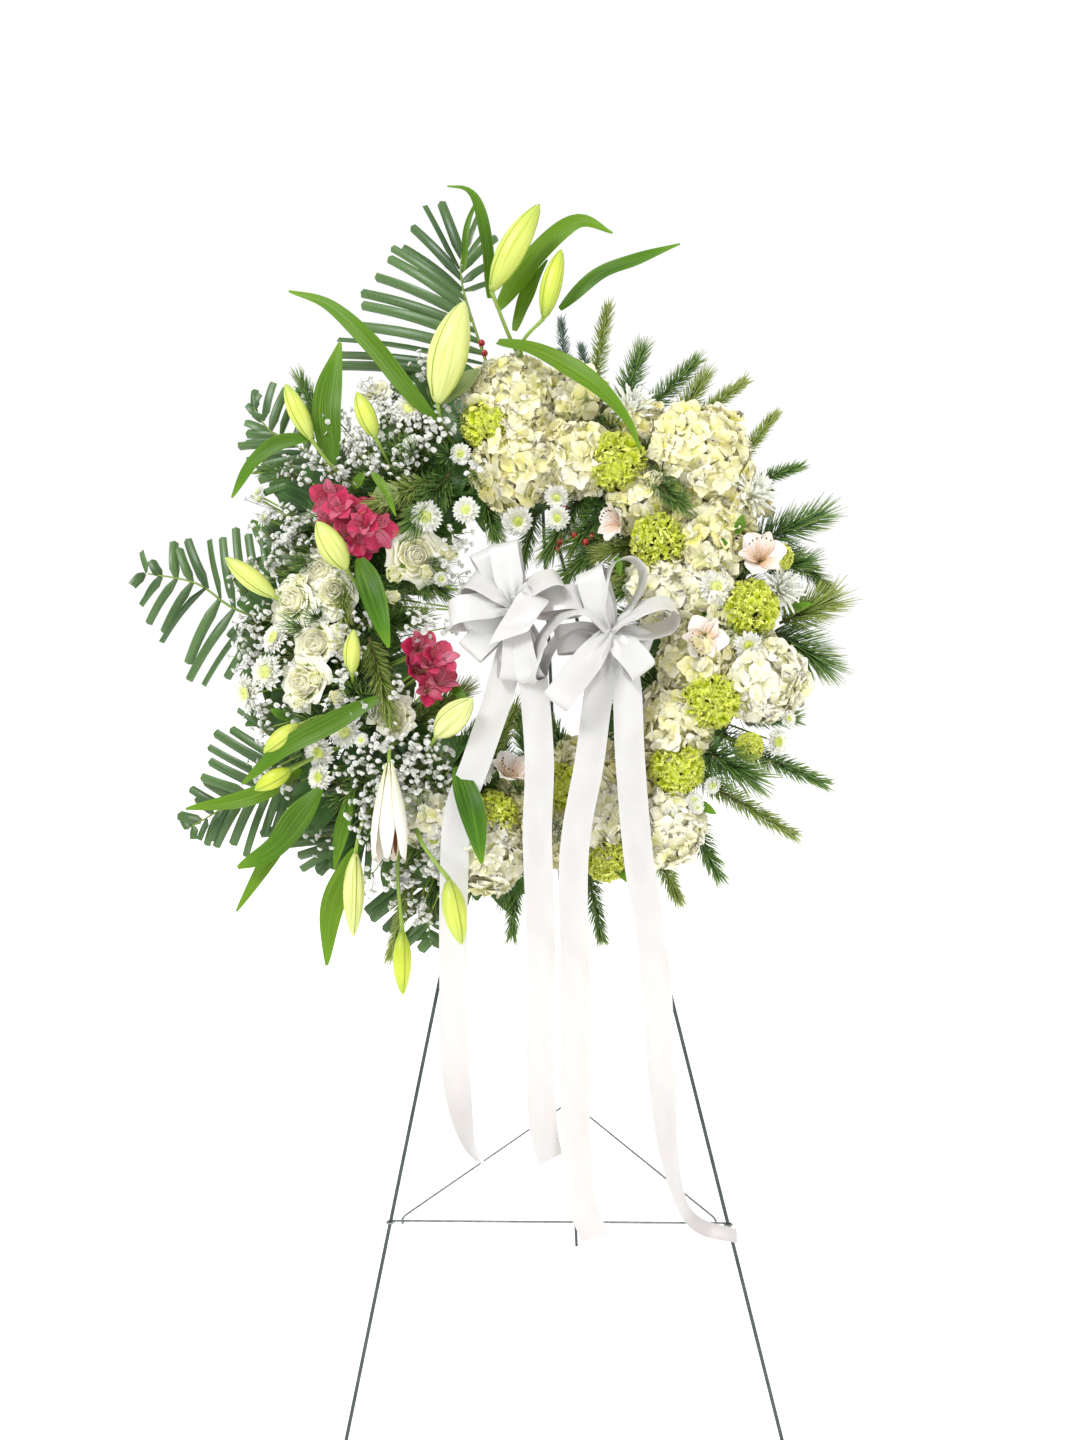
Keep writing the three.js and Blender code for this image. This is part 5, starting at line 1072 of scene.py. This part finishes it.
# %% Pine
PINES = {
    # piece: [(base, tip, needle length, needles, finish)]
    "pine_top": [((90, 300, 58), (116, 430, 60), 17, 210, "young_pine_needle"), ((60, 318, 50), (54, 422, 45), 13, 150, "blue_pine_needle"),
                 ((130, 288, 58), (158, 368, 60), 24, 150, "pine_needle"), ((92, 300, 50), (80, 385, 46), 13, 120, "blue_pine_needle")],
    "pine_upper_right": [((153, 272, 58), (226, 350, 60), 20, 190, "pine_needle"), ((218, 262, 58), (286, 316, 70), 15, 200, "young_pine_needle"),
                         ((275, 205, 60), (325, 270, 70), 13, 170, "young_pine_needle"), ((200, 262, 56), (238, 330, 56), 22, 150, "young_pine_needle")],
    "pine_right": [((295, 182, 55), (355, 205, 60), 13, 150, "pine_needle"), ((288, 100, 60), (372, 136, 65), 34, 190, "pine_needle"),
                   ((328, 104, 55), (386, 46, 52), 18, 170, "pine_needle"), ((322, -2, 60), (378, 26, 62), 38, 170, "young_pine_needle"),
                   ((310, -10, 60), (368, -46, 60), 38, 190, "pine_needle"), ((300, 70, 56), (352, 78, 60), 30, 120, "pine_needle")],
    "pine_lower_right": [((255, -155, 70), (360, -198, 70), 20, 210, "pine_needle"), ((219, -200, 65), (322, -260, 65), 19, 190, "young_pine_needle"),
                         ((215, -160, 92), (266, -190, 116), 38, 150, "pine_needle"), ((262, -120, 62), (330, -118, 60), 22, 150, "pine_needle")],
    "pine_bottom_right": [((190, -220, 62), (231, -306, 60), 22, 180, "pine_needle"), ((155, -275, 60), (181, -336, 60), 18, 150, "young_pine_needle"),
                          ((70, -300, 60), (86, -382, 60), 18, 150, "pine_needle")],
    "pine_bottom": [((-15, -280, 60), (-25, -376, 60), 18, 180, "pine_needle"), ((-133, -252, 60), (-180, -402, 60), 15, 300, "young_pine_needle"),
                    ((-35, -205, 60), (-35, -120, 60), 22, 170, "pine_needle"), ((-100, -262, 58), (-132, -350, 58), 18, 150, "pine_needle")],
    "pine_left": [((-258, 268, 50), (-300, 360, 50), 20, 170, "pine_needle"), ((-295, 215, 60), (-350, 236, 50), 20, 140, "pine_needle"),
                  ((-115, 190, 102), (-182, 158, 120), 24, 200, "young_pine_needle"), ((-195, -10, 104), (-167, -108, 114), 22, 220, "young_pine_needle"),
                  ((-238, 100, 84), (-225, 25, 110), 20, 180, "young_pine_needle"), ((-92, 200, 96), (-135, 140, 108), 32, 190, "pine_needle")],
    "pine_inside": [((178, 112, 62), (104, 96, 84), 24, 210, "young_pine_needle"), ((190, 70, 64), (120, 46, 80), 24, 190, "pine_needle"),
                    ((120, 168, 62), (66, 112, 80), 26, 200, "pine_needle"), ((196, 20, 60), (140, -8, 70), 26, 180, "pine_needle"),
                    ((178, -70, 60), (122, -66, 72), 26, 190, "pine_needle"), ((150, 150, 60), (132, 84, 70), 26, 180, "pine_needle"),
                    ((160, -110, 60), (112, -104, 70), 24, 150, "pine_needle"), ((-150, -120, 60), (-84, -74, 70), 26, 190, "young_pine_needle"),
                    ((-40, -206, 60), (-52, -132, 72), 24, 190, "pine_needle"), ((-170, 90, 60), (-108, 60, 70), 26, 180, "pine_needle"),
                    ((-60, 200, 60), (-36, 132, 78), 24, 170, "pine_needle"), ((90, 200, 62), (34, 104, 84), 27, 230, "pine_needle"),
                    ((140, 150, 62), (58, 74, 80), 27, 230, "pine_needle"), ((180, 110, 60), (128, 66, 74), 27, 200, "young_pine_needle"),
                    ((-80, -196, 62), (-16, -104, 72), 26, 220, "young_pine_needle"), ((10, -200, 62), (-4, -118, 74), 26, 200, "pine_needle"),
                    ((-200, 120, 64), (-118, 92, 84), 26, 210, "pine_needle"), ((-206, 10, 64), (-136, 20, 90), 26, 200, "pine_needle"),
((20, 172, 60), (-5, 88, 60), 18, 150, "pine_needle"), ((150, 88, 60), (72, 52, 60), 20, 170, "young_pine_needle"),
                    ((152, 193, 96), (198, 142, 132), 24, 150, "pine_needle"), ((-150, -95, 60), (-98, -92, 62), 20, 130, "pine_needle"),
                    ((100, 170, 60), (84, 92, 62), 20, 150, "pine_needle"), ((-200, 150, 66), (-130, 60, 70), 24, 170, "pine_needle"),
                    ((-120, -190, 60), (-62, -120, 66), 24, 150, "pine_needle"), ((60, -190, 60), (30, -120, 64), 22, 140, "pine_needle"),
                    ((160, -60, 60), (110, -30, 64), 20, 130, "pine_needle"), ((140, 20, 60), (100, 6, 62), 18, 110, "pine_needle")],
}
NEEDLE_RADIUS = 0.62


def pine(rows, seed, sag=6.0, fuller=1.0):
    """Needles by the golden angle along each twig; their angle to it closes from 65 to 25 degrees, and they bend forward."""
    base, tip = (np.array([row[n] for row in rows], dtype=float) for n in (0, 1))
    s = np.linspace(0.0, 1.0, 8)[None, :, None]
    twigs = base[:, None] * (1 - s) + tip[:, None] * s - [0.0, 1.0, 0.0] * (sag * s * s)
    counts = (np.array([row[3] for row in rows]) * fuller).astype(int)
    lengths = np.array([row[2] for row in rows], dtype=float) * 1.1
    owner = np.repeat(np.arange(len(rows)), counts)
    order = np.concatenate([np.arange(n) for n in counts])
    many = len(owner)
    share = np.clip(0.06 + 0.94 * (order + scatter(0, 1, many, seed)) / counts[owner], 0, 1)
    axes = frames(tip - base)
    start = base[owner] * (1 - share[:, None]) + tip[owner] * share[:, None] - np.array([0.0, 1.0, 0.0]) * (sag * share**2)[:, None]
    turn = order * GOLDEN_ANGLE + scatter(-0.3, 0.3, many, seed + 1)
    open_by = 1.15 - 0.75 * share**1.5 + scatter(-0.15, 0.15, many, seed + 2)
    side = axes[owner][:, :, 0] * np.cos(turn)[:, None] + axes[owner][:, :, 1] * np.sin(turn)[:, None]
    ahead = axes[owner][:, :, 2]
    heading = ahead * np.cos(open_by)[:, None] + side * np.sin(open_by)[:, None]
    long = lengths[owner] * scatter(0.75, 1.08, many, seed + 3) * (0.7 + 0.3 * np.minimum(1, 4 * share))
    n = np.linspace(0.0, 1.0, 4)[None, :, None]
    needles = start[:, None] + heading[:, None] * (long[:, None, None] * n) + ahead[:, None] * (0.14 * long[:, None, None] * n * n)
    radii = NEEDLE_RADIUS * np.array([0.75, 1.0, 0.85, 0.3]) * (0.8 + 0.4 * scatter(0, 1, many, seed + 4))[:, None]
    rings = tubes(needles, radii, 4)
    chance = scatter(0, 1, many, seed + 5)
    parts = []
    for finish in dict.fromkeys(row[4] for row in rows):
        mine = np.isin(owner, [n for n, row in enumerate(rows) if row[4] == finish])
        parts.append(skin(rings[mine], finish, chance[mine], (0.25 * share - 0.15)[mine]))
    parts.append(skin(tubes(twigs, np.linspace(2.1, 0.8, 8)[None] * np.ones((len(rows), 1)), 6), "twig_bark", 0.5))
    return parts


for number, (name, rows) in enumerate(PINES.items()):
    piece(name + "_twigs", pine(rows, 9000 + 10 * number, fuller=1.5), () if name == "pine_inside" else [name])

def dark_leaves(first_degree, last_degree, count, inner, outer, seed, inwards=False):
    """Salal leaves in a shingle behind the flowers: each starts on the foam and lies outwards, a little turned."""
    turn = np.radians(scatter(first_degree, last_degree, count, seed))
    start = scatter(inner, outer - 62.0, count, seed + 1)
    heading = turn + math.pi * inwards + np.random.default_rng(seed + 2).normal(0, 0.55, count)
    height = 68.0 + scatter(-8, 10, count, seed + 3) - 0.16 * np.abs(start - RING_MIDDLE)
    long = scatter(58, 84, count, seed + 4)
    s = np.linspace(0.0, 1.0, 9)[None, :]
    drop = 5.0 * np.sin(math.pi * s) - 10.0 * s**2
    paths = np.stack([(start * np.cos(turn))[:, None] + (long * np.cos(heading))[:, None] * s,
                      (start * np.sin(turn))[:, None] + (long * np.sin(heading))[:, None] * s, height[:, None] + drop], -1)
    facing = np.random.default_rng(seed + 5).normal(0, 0.3, (count, 1, 3)) + [0.0, 0.0, 1.0]
    fronts = blades(paths, scatter(30, 42, count, seed + 6), facing, lance, fold=0.2, wave=0.08, columns=5)
    return [blade_skin(fronts, 0.6, "dark_salal_leaf", scatter(0, 1, count, seed + 7))]


piece("salal_leaves_left", dark_leaves(96, 262, 190, 205.0, 395.0, 9400), ())
piece("salal_leaves_right", dark_leaves(-98, 96, 80, 195.0, 300.0, 9420), ())
piece("salal_leaves_inside", dark_leaves(-110, 240, 90, 212.0, 292.0, 9440, inwards=True), ())


def filling(first_degree, last_degree, count, reach, seed):
    """Tufts over part of the ring: they start on the foam's round front and point away from its core."""
    turn = np.radians(scatter(first_degree, last_degree, count, seed))
    way = scatter(-0.1, math.pi - 0.35, count, seed + 1)
    out = np.stack([np.cos(turn) * np.cos(way), np.sin(turn) * np.cos(way), np.sin(way)], -1)
    core = np.stack([np.cos(turn), np.sin(turn), 0 * turn], -1) * RING_MIDDLE + [0.0, 0.0, 36.0]
    start = core + out * [32.0, 32.0, 24.0]
    twist = np.random.default_rng(seed + 2).normal(0, 0.4, (count, 3))
    end = start + unit(out + twist) * (scatter(0.7, 1.2, count, seed + 3) * reach)[:, None]
    end[:, 2] = np.maximum(end[:, 2], 28.0)
    return [(tuple(a), tuple(b), 27, 62, "pine_needle") for a, b in zip(start, end)]


piece("pine_filling_right", pine(filling(-80, 100, 80, 42.0, 9500), 9510, sag=2.0), ())
piece("pine_filling_left", pine(filling(100, 280, 110, 52.0, 9520), 9530, sag=2.0), ())

# %% [markdown]
# Palm: each frond is a rib with a row of folded leaflets on both sides.
# The line through the leaflets' tips is given, as a florist trims it, and
# the leaflets are spaced evenly between the rib and that line.

# %% Palm fronds
PALMS = {
    # piece: [(rib points, [(tip line, from, to, leaflets)])] with from and to as shares of the rib
    "palm_top": [([(-30, 310, 55), (-65, 425, 55), (-80, 490, 50), (-76, 540, 46)],
                  [([(-104, 593, 44), (-130, 586, 44), (-154, 560, 44), (-185, 524, 44), (-202, 500, 44), (-216, 468, 44), (-241, 420, 42), (-252, 372, 44)], 0.9, 0.1, 13),
                   ([(-50, 580, 44), (-34, 540, 44), (-40, 515, 48), (-30, 490, 50)], 0.92, 0.7, 5)])],
    "palm_upper_left": [([(-230, 210, 55), (-300, 260, 50), (-345, 290, 45), (-372, 330, 40)],
                         [([(-368, 347, 40), (-376, 310, 44), (-376, 286, 46), (-376, 262, 48), (-358, 228, 52), (-350, 200, 54)], 1.0, 0.15, 11),
                          ([(-368, 350, 38), (-330, 352, 42), (-300, 335, 46), (-262, 300, 50)], 0.95, 0.3, 7)])],
    "palm_left": [([(-255, -5, 60), (-380, 40, 60), (-440, 80, 55), (-520, 100, 45)],
                   [([(-528, 118, 42), (-500, 124, 44), (-474, 136, 48), (-445, 143, 50), (-407, 149, 54), (-381, 152, 56), (-350, 130, 58)], 0.98, 0.24, 10),
                    ([(-528, 80, 42), (-510, 45, 44), (-492, 9, 48), (-468, -23, 52), (-453, -39, 54), (-421, -58, 56), (-380, -60, 58)], 0.98, 0.24, 10)])],
    "palm_lower_left": [([(-230, -135, 60), (-325, -180, 55), (-385, -210, 50), (-457, -247, 40)],
                         [([(-462, -238, 38), (-444, -200, 42), (-432, -172, 46), (-424, -145, 50), (-410, -118, 52), (-390, -94, 54)], 0.97, 0.25, 11),
                          ([(-458, -262, 38), (-425, -272, 42), (-392, -270, 46), (-360, -265, 50), (-335, -262, 52)], 0.95, 0.3, 9)]),
                        ([(-165, -200, 60), (-220, -250, 50), (-262, -288, 42)],
                         [([(-330, -240, 46), (-342, -252, 44), (-318, -272, 42), (-282, -296, 40)], 0.35, 0.98, 7),
                          ([(-225, -318, 42), (-240, -322, 40), (-264, -304, 40)], 0.4, 0.96, 5)])],
    "palm_bottom": [([(-145, -240, 60), (-140, -305, 55), (-130, -402, 45)],
                     [([(-212, -352, 44), (-205, -370, 44), (-191, -382, 44), (-170, -398, 44), (-148, -408, 44)], 0.35, 0.93, 10),
                      ([(-88, -330, 50), (-92, -360, 48), (-98, -388, 46), (-112, -412, 44)], 0.35, 0.93, 9)])],
}


def palms(fronds, seed):
    """Leaflet i runs from its place on the rib to its place on the tip line, arches a little, and folds down its middle."""
    parts = []
    for number, (rib_points, sides) in enumerate(fronds):
        rib = curve(rib_points, 60)
        paths, facings = [], []
        for side_number, (tip_line, start, end, count) in enumerate(sides):
            share = np.linspace(start, end, count)
            roots = np.stack([np.interp(share * 59, np.arange(60), rib[:, n]) for n in range(3)], -1)
            tips = curve(tip_line, count) + np.random.default_rng(seed + side_number).normal(0, 6.0, (count, 3)) * [1, 1, 0.9]
            n = np.linspace(0.0, 1.0, 9)[None, :, None]
            arch = np.array([0.0, 0.0, 1.0]) * (0.08 * np.linalg.norm(tips - roots, axis=1)[:, None, None] * np.sin(math.pi * n))
            paths.append(roots[:, None] * (1 - n) + tips[:, None] * n + arch)
            lean = np.random.default_rng(seed + 5 + side_number).normal(0, 0.45, (count, 3))
            facings.append((lean + [0.0, 0.0, 1.0])[:, None])
        paths, facings = np.concatenate(paths), np.concatenate(facings)
        count = len(paths)
        fronts = blades(paths, scatter(15.0, 20.0, count, seed + 9), facings, blade_of_palm, fold=-0.6, columns=3)
        parts.append(blade_skin(fronts, 0.5, "palm_leaflet", scatter(0, 1, count, seed + 10)))
        parts.append(skin(tubes(rib[None, ::3], np.linspace(2.6, 1.0, 20)[None], 8), "green_stem", 0.9, -0.3))
    return parts


for number, (name, fronds) in enumerate(PALMS.items()):
    piece(name + "_frond", palms(fronds, 9600 + 20 * number), [name])

# %% [markdown]
# Ribbon: satin 35 mm wide. A bow is one long strip folded into loops that
# are pinched at the knot, where the cloth gathers into pleats, and open
# to full width at their ends. The tails hang from the bows, touch the
# flowers, and then hang free.

# %% Satin bows and tails
RIBBON_WIDTH = 35.0
RIBBON_THICKNESS = 0.4
BOWS = {
    # bow: (knot, [(heading in degrees, length, opening, roll in degrees, level)])
    "bow_left": ((-5, 14, 150), [(98, 76, 26, 5, 4), (119, 80, 22, -8, -6), (152, 64, 26, -30, 0), (188, 80, 30, -12, -2),
                                 (205, 66, 20, 10, -10), (224, 80, 22, 5, -14), (22, 64, 30, 38, 6), (2, 84, 24, 20, -8),
                                 (267, 92, 24, 20, -10), (283, 96, 26, -25, -4)]),
    "bow_right": ((108, -24, 150), [(106, 80, 24, 15, 0), (72, 92, 44, 72, 2), (15, 84, 36, 48, 4), (308, 64, 26, 8, 2),
                                    (232, 108, 32, 8, 12), (185, 66, 22, 0, -12), (338, 52, 20, 10, -10)]),
}
LOOP = ((0.0, 0.0), (0.25, 0.36), (0.6, 0.52), (0.88, 0.42), (1.0, 0.0), (0.88, -0.42), (0.6, -0.46), (0.25, -0.22), (0.0, 0.0))
ARCH = ([(107, -21, 158), (82, 1, 164), (56, -2, 168), (32, -25, 170), (21, -51, 168), (12, -74, 160), (22, -78, 150), (32, -48, 150),
         (48, -26, 150), (70, -14, 148), (98, -20, 146)], (70, -70))
FLAP = ([(-5, 16, 158), (12, 24, 166), (22, 20, 176), (14, 8, 181), (-4, -18, 178), (-12, -30, 174)], (0.78, -0.63, 0.1))
TAILS = {
    "ribbon_tail_1": ([(-2, 0, 146), (-12, -40, 142), (-30, -100, 140), (-55, -170, 142), (-80, -240, 138), (-90, -340, 114), (-95, -460, 92), (-95, -560, 75),
                       (-82, -635, 66), (-60, -665, 60), (-45, -672, 56)], [0, 0, 5, 5, 0, -5, -5, 0, 15, 60, 120]),
    "ribbon_tail_2": ([(4, -8, 146), (14, -70, 147), (20, -170, 144), (15, -265, 134), (15, -385, 112), (10, -510, 92), (10, -605, 78), (18, -655, 70)],
                      [0, 0, 0, 4, 0, -4, 0, 35]),
    "ribbon_tail_3": ([(104, -34, 146), (90, -110, 145), (80, -175, 145), (58, -290, 132), (55, -460, 102), (50, -620, 78), (55, -705, 66), (70, -750, 60)],
                      [0, 0, -6, 0, 5, 0, -5, -10]),
    "ribbon_tail_4": ([(114, -32, 148), (126, -85, 146), (128, -175, 146), (135, -295, 134), (150, -410, 114), (155, -530, 94), (160, -630, 78), (175, -705, 66),
                       (198, -735, 60), (240, -745, 62)], [0, 0, 5, 0, -5, 0, 10, 40, 70, 85]),
}


def ribbon(path, side_way, pinch, seed, columns=13, slant=0.0):
    """Cloth carried along a path. Where it is pinched, its width closes up into pleats; slant cuts its last end askew."""
    run = unit(np.gradient(path, axis=0))
    side = unit(side_way - (side_way * run).sum(-1, keepdims=True) * run)
    normal = np.cross(side, run)
    t = np.linspace(-1.0, 1.0, columns)[None, :]
    share = pinch[:, None]
    pleats = RIBBON_WIDTH * 0.11 * np.sqrt(np.maximum(1.0 - share, 0.0)) * np.sin(2.5 * math.pi * t + 0.6)
    ripple = 0.5 * np.sin(2 * math.pi * np.linspace(0, 2.3, len(path))[:, None] + 2.0 * t + seed) * share
    front = path[:, None] + side[:, None] * (RIBBON_WIDTH / 2 * share * t)[..., None] + normal[:, None] * (pleats + ripple)[..., None]
    late = (np.linspace(0.0, 1.0, len(path))[:, None] ** 3 * slant * t)[..., None]
    return (front + run[:, None] * late)[None]


def cloth_skin(front, start, seed):
    """Ribbon's own numbers for the weave: millimetres across and along."""
    rows, columns = front.shape[1:3]
    made = blade_skin(front, RIBBON_THICKNESS, "white_satin_weave", seed)
    middle = front[0, :, columns // 2]
    run = start + np.r_[0.0, np.cumsum(np.linalg.norm(np.diff(middle, axis=0), axis=1))]
    made["place"][:, 0] *= RIBBON_WIDTH / 2
    made["place"][:, 1] = np.repeat(run, 2 * columns - 2)
    return made


def bow(knot, loops):
    """Every loop of a bow: a drop-shaped path out from the knot and back. Gives the skins and the length of ribbon in them."""
    parts, used = [], 0.0
    for number, (heading, long, opening, roll, level) in enumerate(loops):
        angle, roll = math.radians(heading), math.radians(roll)
        out = unit([math.cos(angle), math.sin(angle), 0.12])
        across = np.array([-math.sin(angle), math.cos(angle), 0.0])
        up = np.array([0.0, 0.0, 1.0]) * math.cos(roll) + across * math.sin(roll)
        across = across * math.cos(roll) - np.array([0.0, 0.0, 1.0]) * math.sin(roll)
        middle = np.array(knot) + [0.0, 0.0, level]
        path = curve([middle + out * (long * a) + up * (opening * b) for a, b in LOOP], 52)
        s = np.linspace(0.0, 1.0, 52)
        pinch = 0.42 + 0.58 * np.clip(np.minimum(s, 1 - s) / 0.2, 0, 1) ** 0.7
        parts.append(cloth_skin(ribbon(path, np.tile(across, (52, 1)), pinch, number), used, 0.1 * number))
        used += path_length(path)
    return parts, used


def arch(points, centre):
    """A loop seen from its side: its cloth leans towards the middle that it bends round."""
    path = curve(points, 70)
    away = unit((path - [*centre, 0.0]) * [1.0, 1.0, 0.0])
    return cloth_skin(ribbon(path, np.array([0.0, 0.0, 0.85]) - 0.5 * away, np.ones(70), 3), 0.0, 0.4), path_length(path)


for name, (knot, loops) in BOWS.items():
    parts, used = bow(knot, loops)
    if name == "bow_left":
        path = curve(FLAP[0], 40)
        parts.append(cloth_skin(ribbon(path, np.tile(FLAP[1], (40, 1)), np.clip(np.linspace(0.5, 2.0, 40), 0, 1), 5, slant=-20.0), used, 0.8))
        used += path_length(path)
    else:
        made, more = arch(*ARCH)
        parts.append(made)
        used += more
    made = piece(name + "_loops", parts, [name])
    print(f"{name}: {used:.0f} mm of ribbon")

TAIL_STEPS = 110
for name, (points, turns) in TAILS.items():
    path = curve(points, TAIL_STEPS)
    turn = np.radians(np.interp(np.linspace(0, len(turns) - 1, TAIL_STEPS), np.arange(len(turns)), turns))[:, None]
    run = unit(np.gradient(path, axis=0))
    ahead = unit([0.0, 0.0, 1.0] - run[:, 2:3] * run)
    side = np.cross(run, ahead)
    side = side * np.cos(turn) + ahead * np.sin(turn)
    pinch = np.clip(0.45 + np.linspace(0, 1, TAIL_STEPS) * 9, 0, 1)
    front = ribbon(path, side, pinch, len(name) + points[0][0])
    made = piece(name + "_cloth", [cloth_skin(front, 0.0, 0.3)], [name])
    print(f"{name}: {path_length(path):.0f} mm long")

# %% [markdown]
# The easel, tray and foam keep their CAD shapes, which are already what
# the real ones are: bent wire, a shallow tray and a cut ring of foam.

# %% Easel, tray and foam
CAD_FINISHES = {
    "front_leg_left": "green_enamelled_wire", "front_leg_right": "green_enamelled_wire",
    "rear_leg": "green_enamelled_wire", "top_hook": "green_enamelled_wire", "hinge_pin": "galvanised_wire",
    "front_crossbar": "galvanised_wire", "rear_brace": "galvanised_wire", "ring_base": "waxed_fibre_tray",
    "foam_ring": "wet_floral_foam",
}
for name, finish in CAD_FINISHES.items():
    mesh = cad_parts[name].data
    mesh.materials.clear()
    mesh.materials.append(finishes[finish])
print(len(CAD_FINISHES), "CAD pieces finished")

# %% [markdown]
# The studio: a pale floor, a white sky, one large soft light above and to
# the left of the camera, and a weaker one on the other side.

# %% Floor, light and camera
FLOOR_HALF = 14.0
floor_mesh = bpy.data.meshes.new("studio_floor")
floor_mesh.from_pydata([(-FLOOR_HALF, -FLOOR_HALF, 0), (FLOOR_HALF, -FLOOR_HALF, 0), (FLOOR_HALF, FLOOR_HALF, 0),
                        (-FLOOR_HALF, FLOOR_HALF, 0)], [], [(0, 1, 2, 3)])
floor = bpy.data.objects.new("studio_floor", floor_mesh)
bpy.context.scene.collection.objects.link(floor)
solid_finish("matt_white_floor", [(0.3, "#fafafa"), (0.7, "#fdfdfd")], 3.0, (0.85, 0.95), bump=0.0, specular=0.1,
             glow=0.58)
floor_mesh.materials.append(finishes["matt_white_floor"])

world = bpy.data.worlds.new("studio_sky")
bpy.context.scene.world = world
world.use_nodes = True
world.node_tree.nodes.clear()
sight = add(world.node_tree, "ShaderNodeLightPath")
strength = add(world.node_tree, "ShaderNodeMapRange", {"Value": sight.outputs["Is Camera Ray"], "To Min": 0.72, "To Max": 1.0})
sky = add(world.node_tree, "ShaderNodeBackground", {"Color": (1.0, 1.0, 1.0, 1.0), "Strength": strength.outputs[0]})
add(world.node_tree, "ShaderNodeOutputWorld", {"Surface": sky.outputs[0]})


def soft_light(name, place, aim, power, size):
    """A square area light that looks from its place at its aim."""
    lamp = bpy.data.lights.new(name, "AREA")
    lamp.energy, lamp.size = power, size
    made = bpy.data.objects.new(name, lamp)
    made.location = place
    made.rotation_euler = (Vector(aim) - Vector(place)).to_track_quat("-Z", "Y").to_euler()
    bpy.context.scene.collection.objects.link(made)
    return made


soft_light("key_light", (-1.1, -1.9, 3.1), (0.0, 0.0, 1.0), 54.0, 0.9)
soft_light("fill_light", (2.2, -1.8, 1.6), (0.1, 0.0, 0.9), 12.0, 1.6)
soft_light("back_light", (0.6, 2.4, 2.6), (0.0, 0.0, 1.0), 20.0, 1.6)

camera_data = bpy.data.cameras.new("front_camera")
camera_data.lens, camera_data.sensor_width = 26.8, 36.0
camera = bpy.data.objects.new("front_camera", camera_data)
aim = Vector((-0.0747, 0.9931, -0.0906))
camera.location = (0.195, -1.458, 1.041)
camera.rotation_mode = "QUATERNION"
upright = aim.to_track_quat("-Z", "Y")
camera.rotation_quaternion = upright @ Matrix.Rotation(math.radians(-2.0), 3, "Z").to_quaternion()
bpy.context.scene.collection.objects.link(camera)
bpy.context.scene.camera = camera
bpy.context.scene.view_settings.view_transform = "Standard"
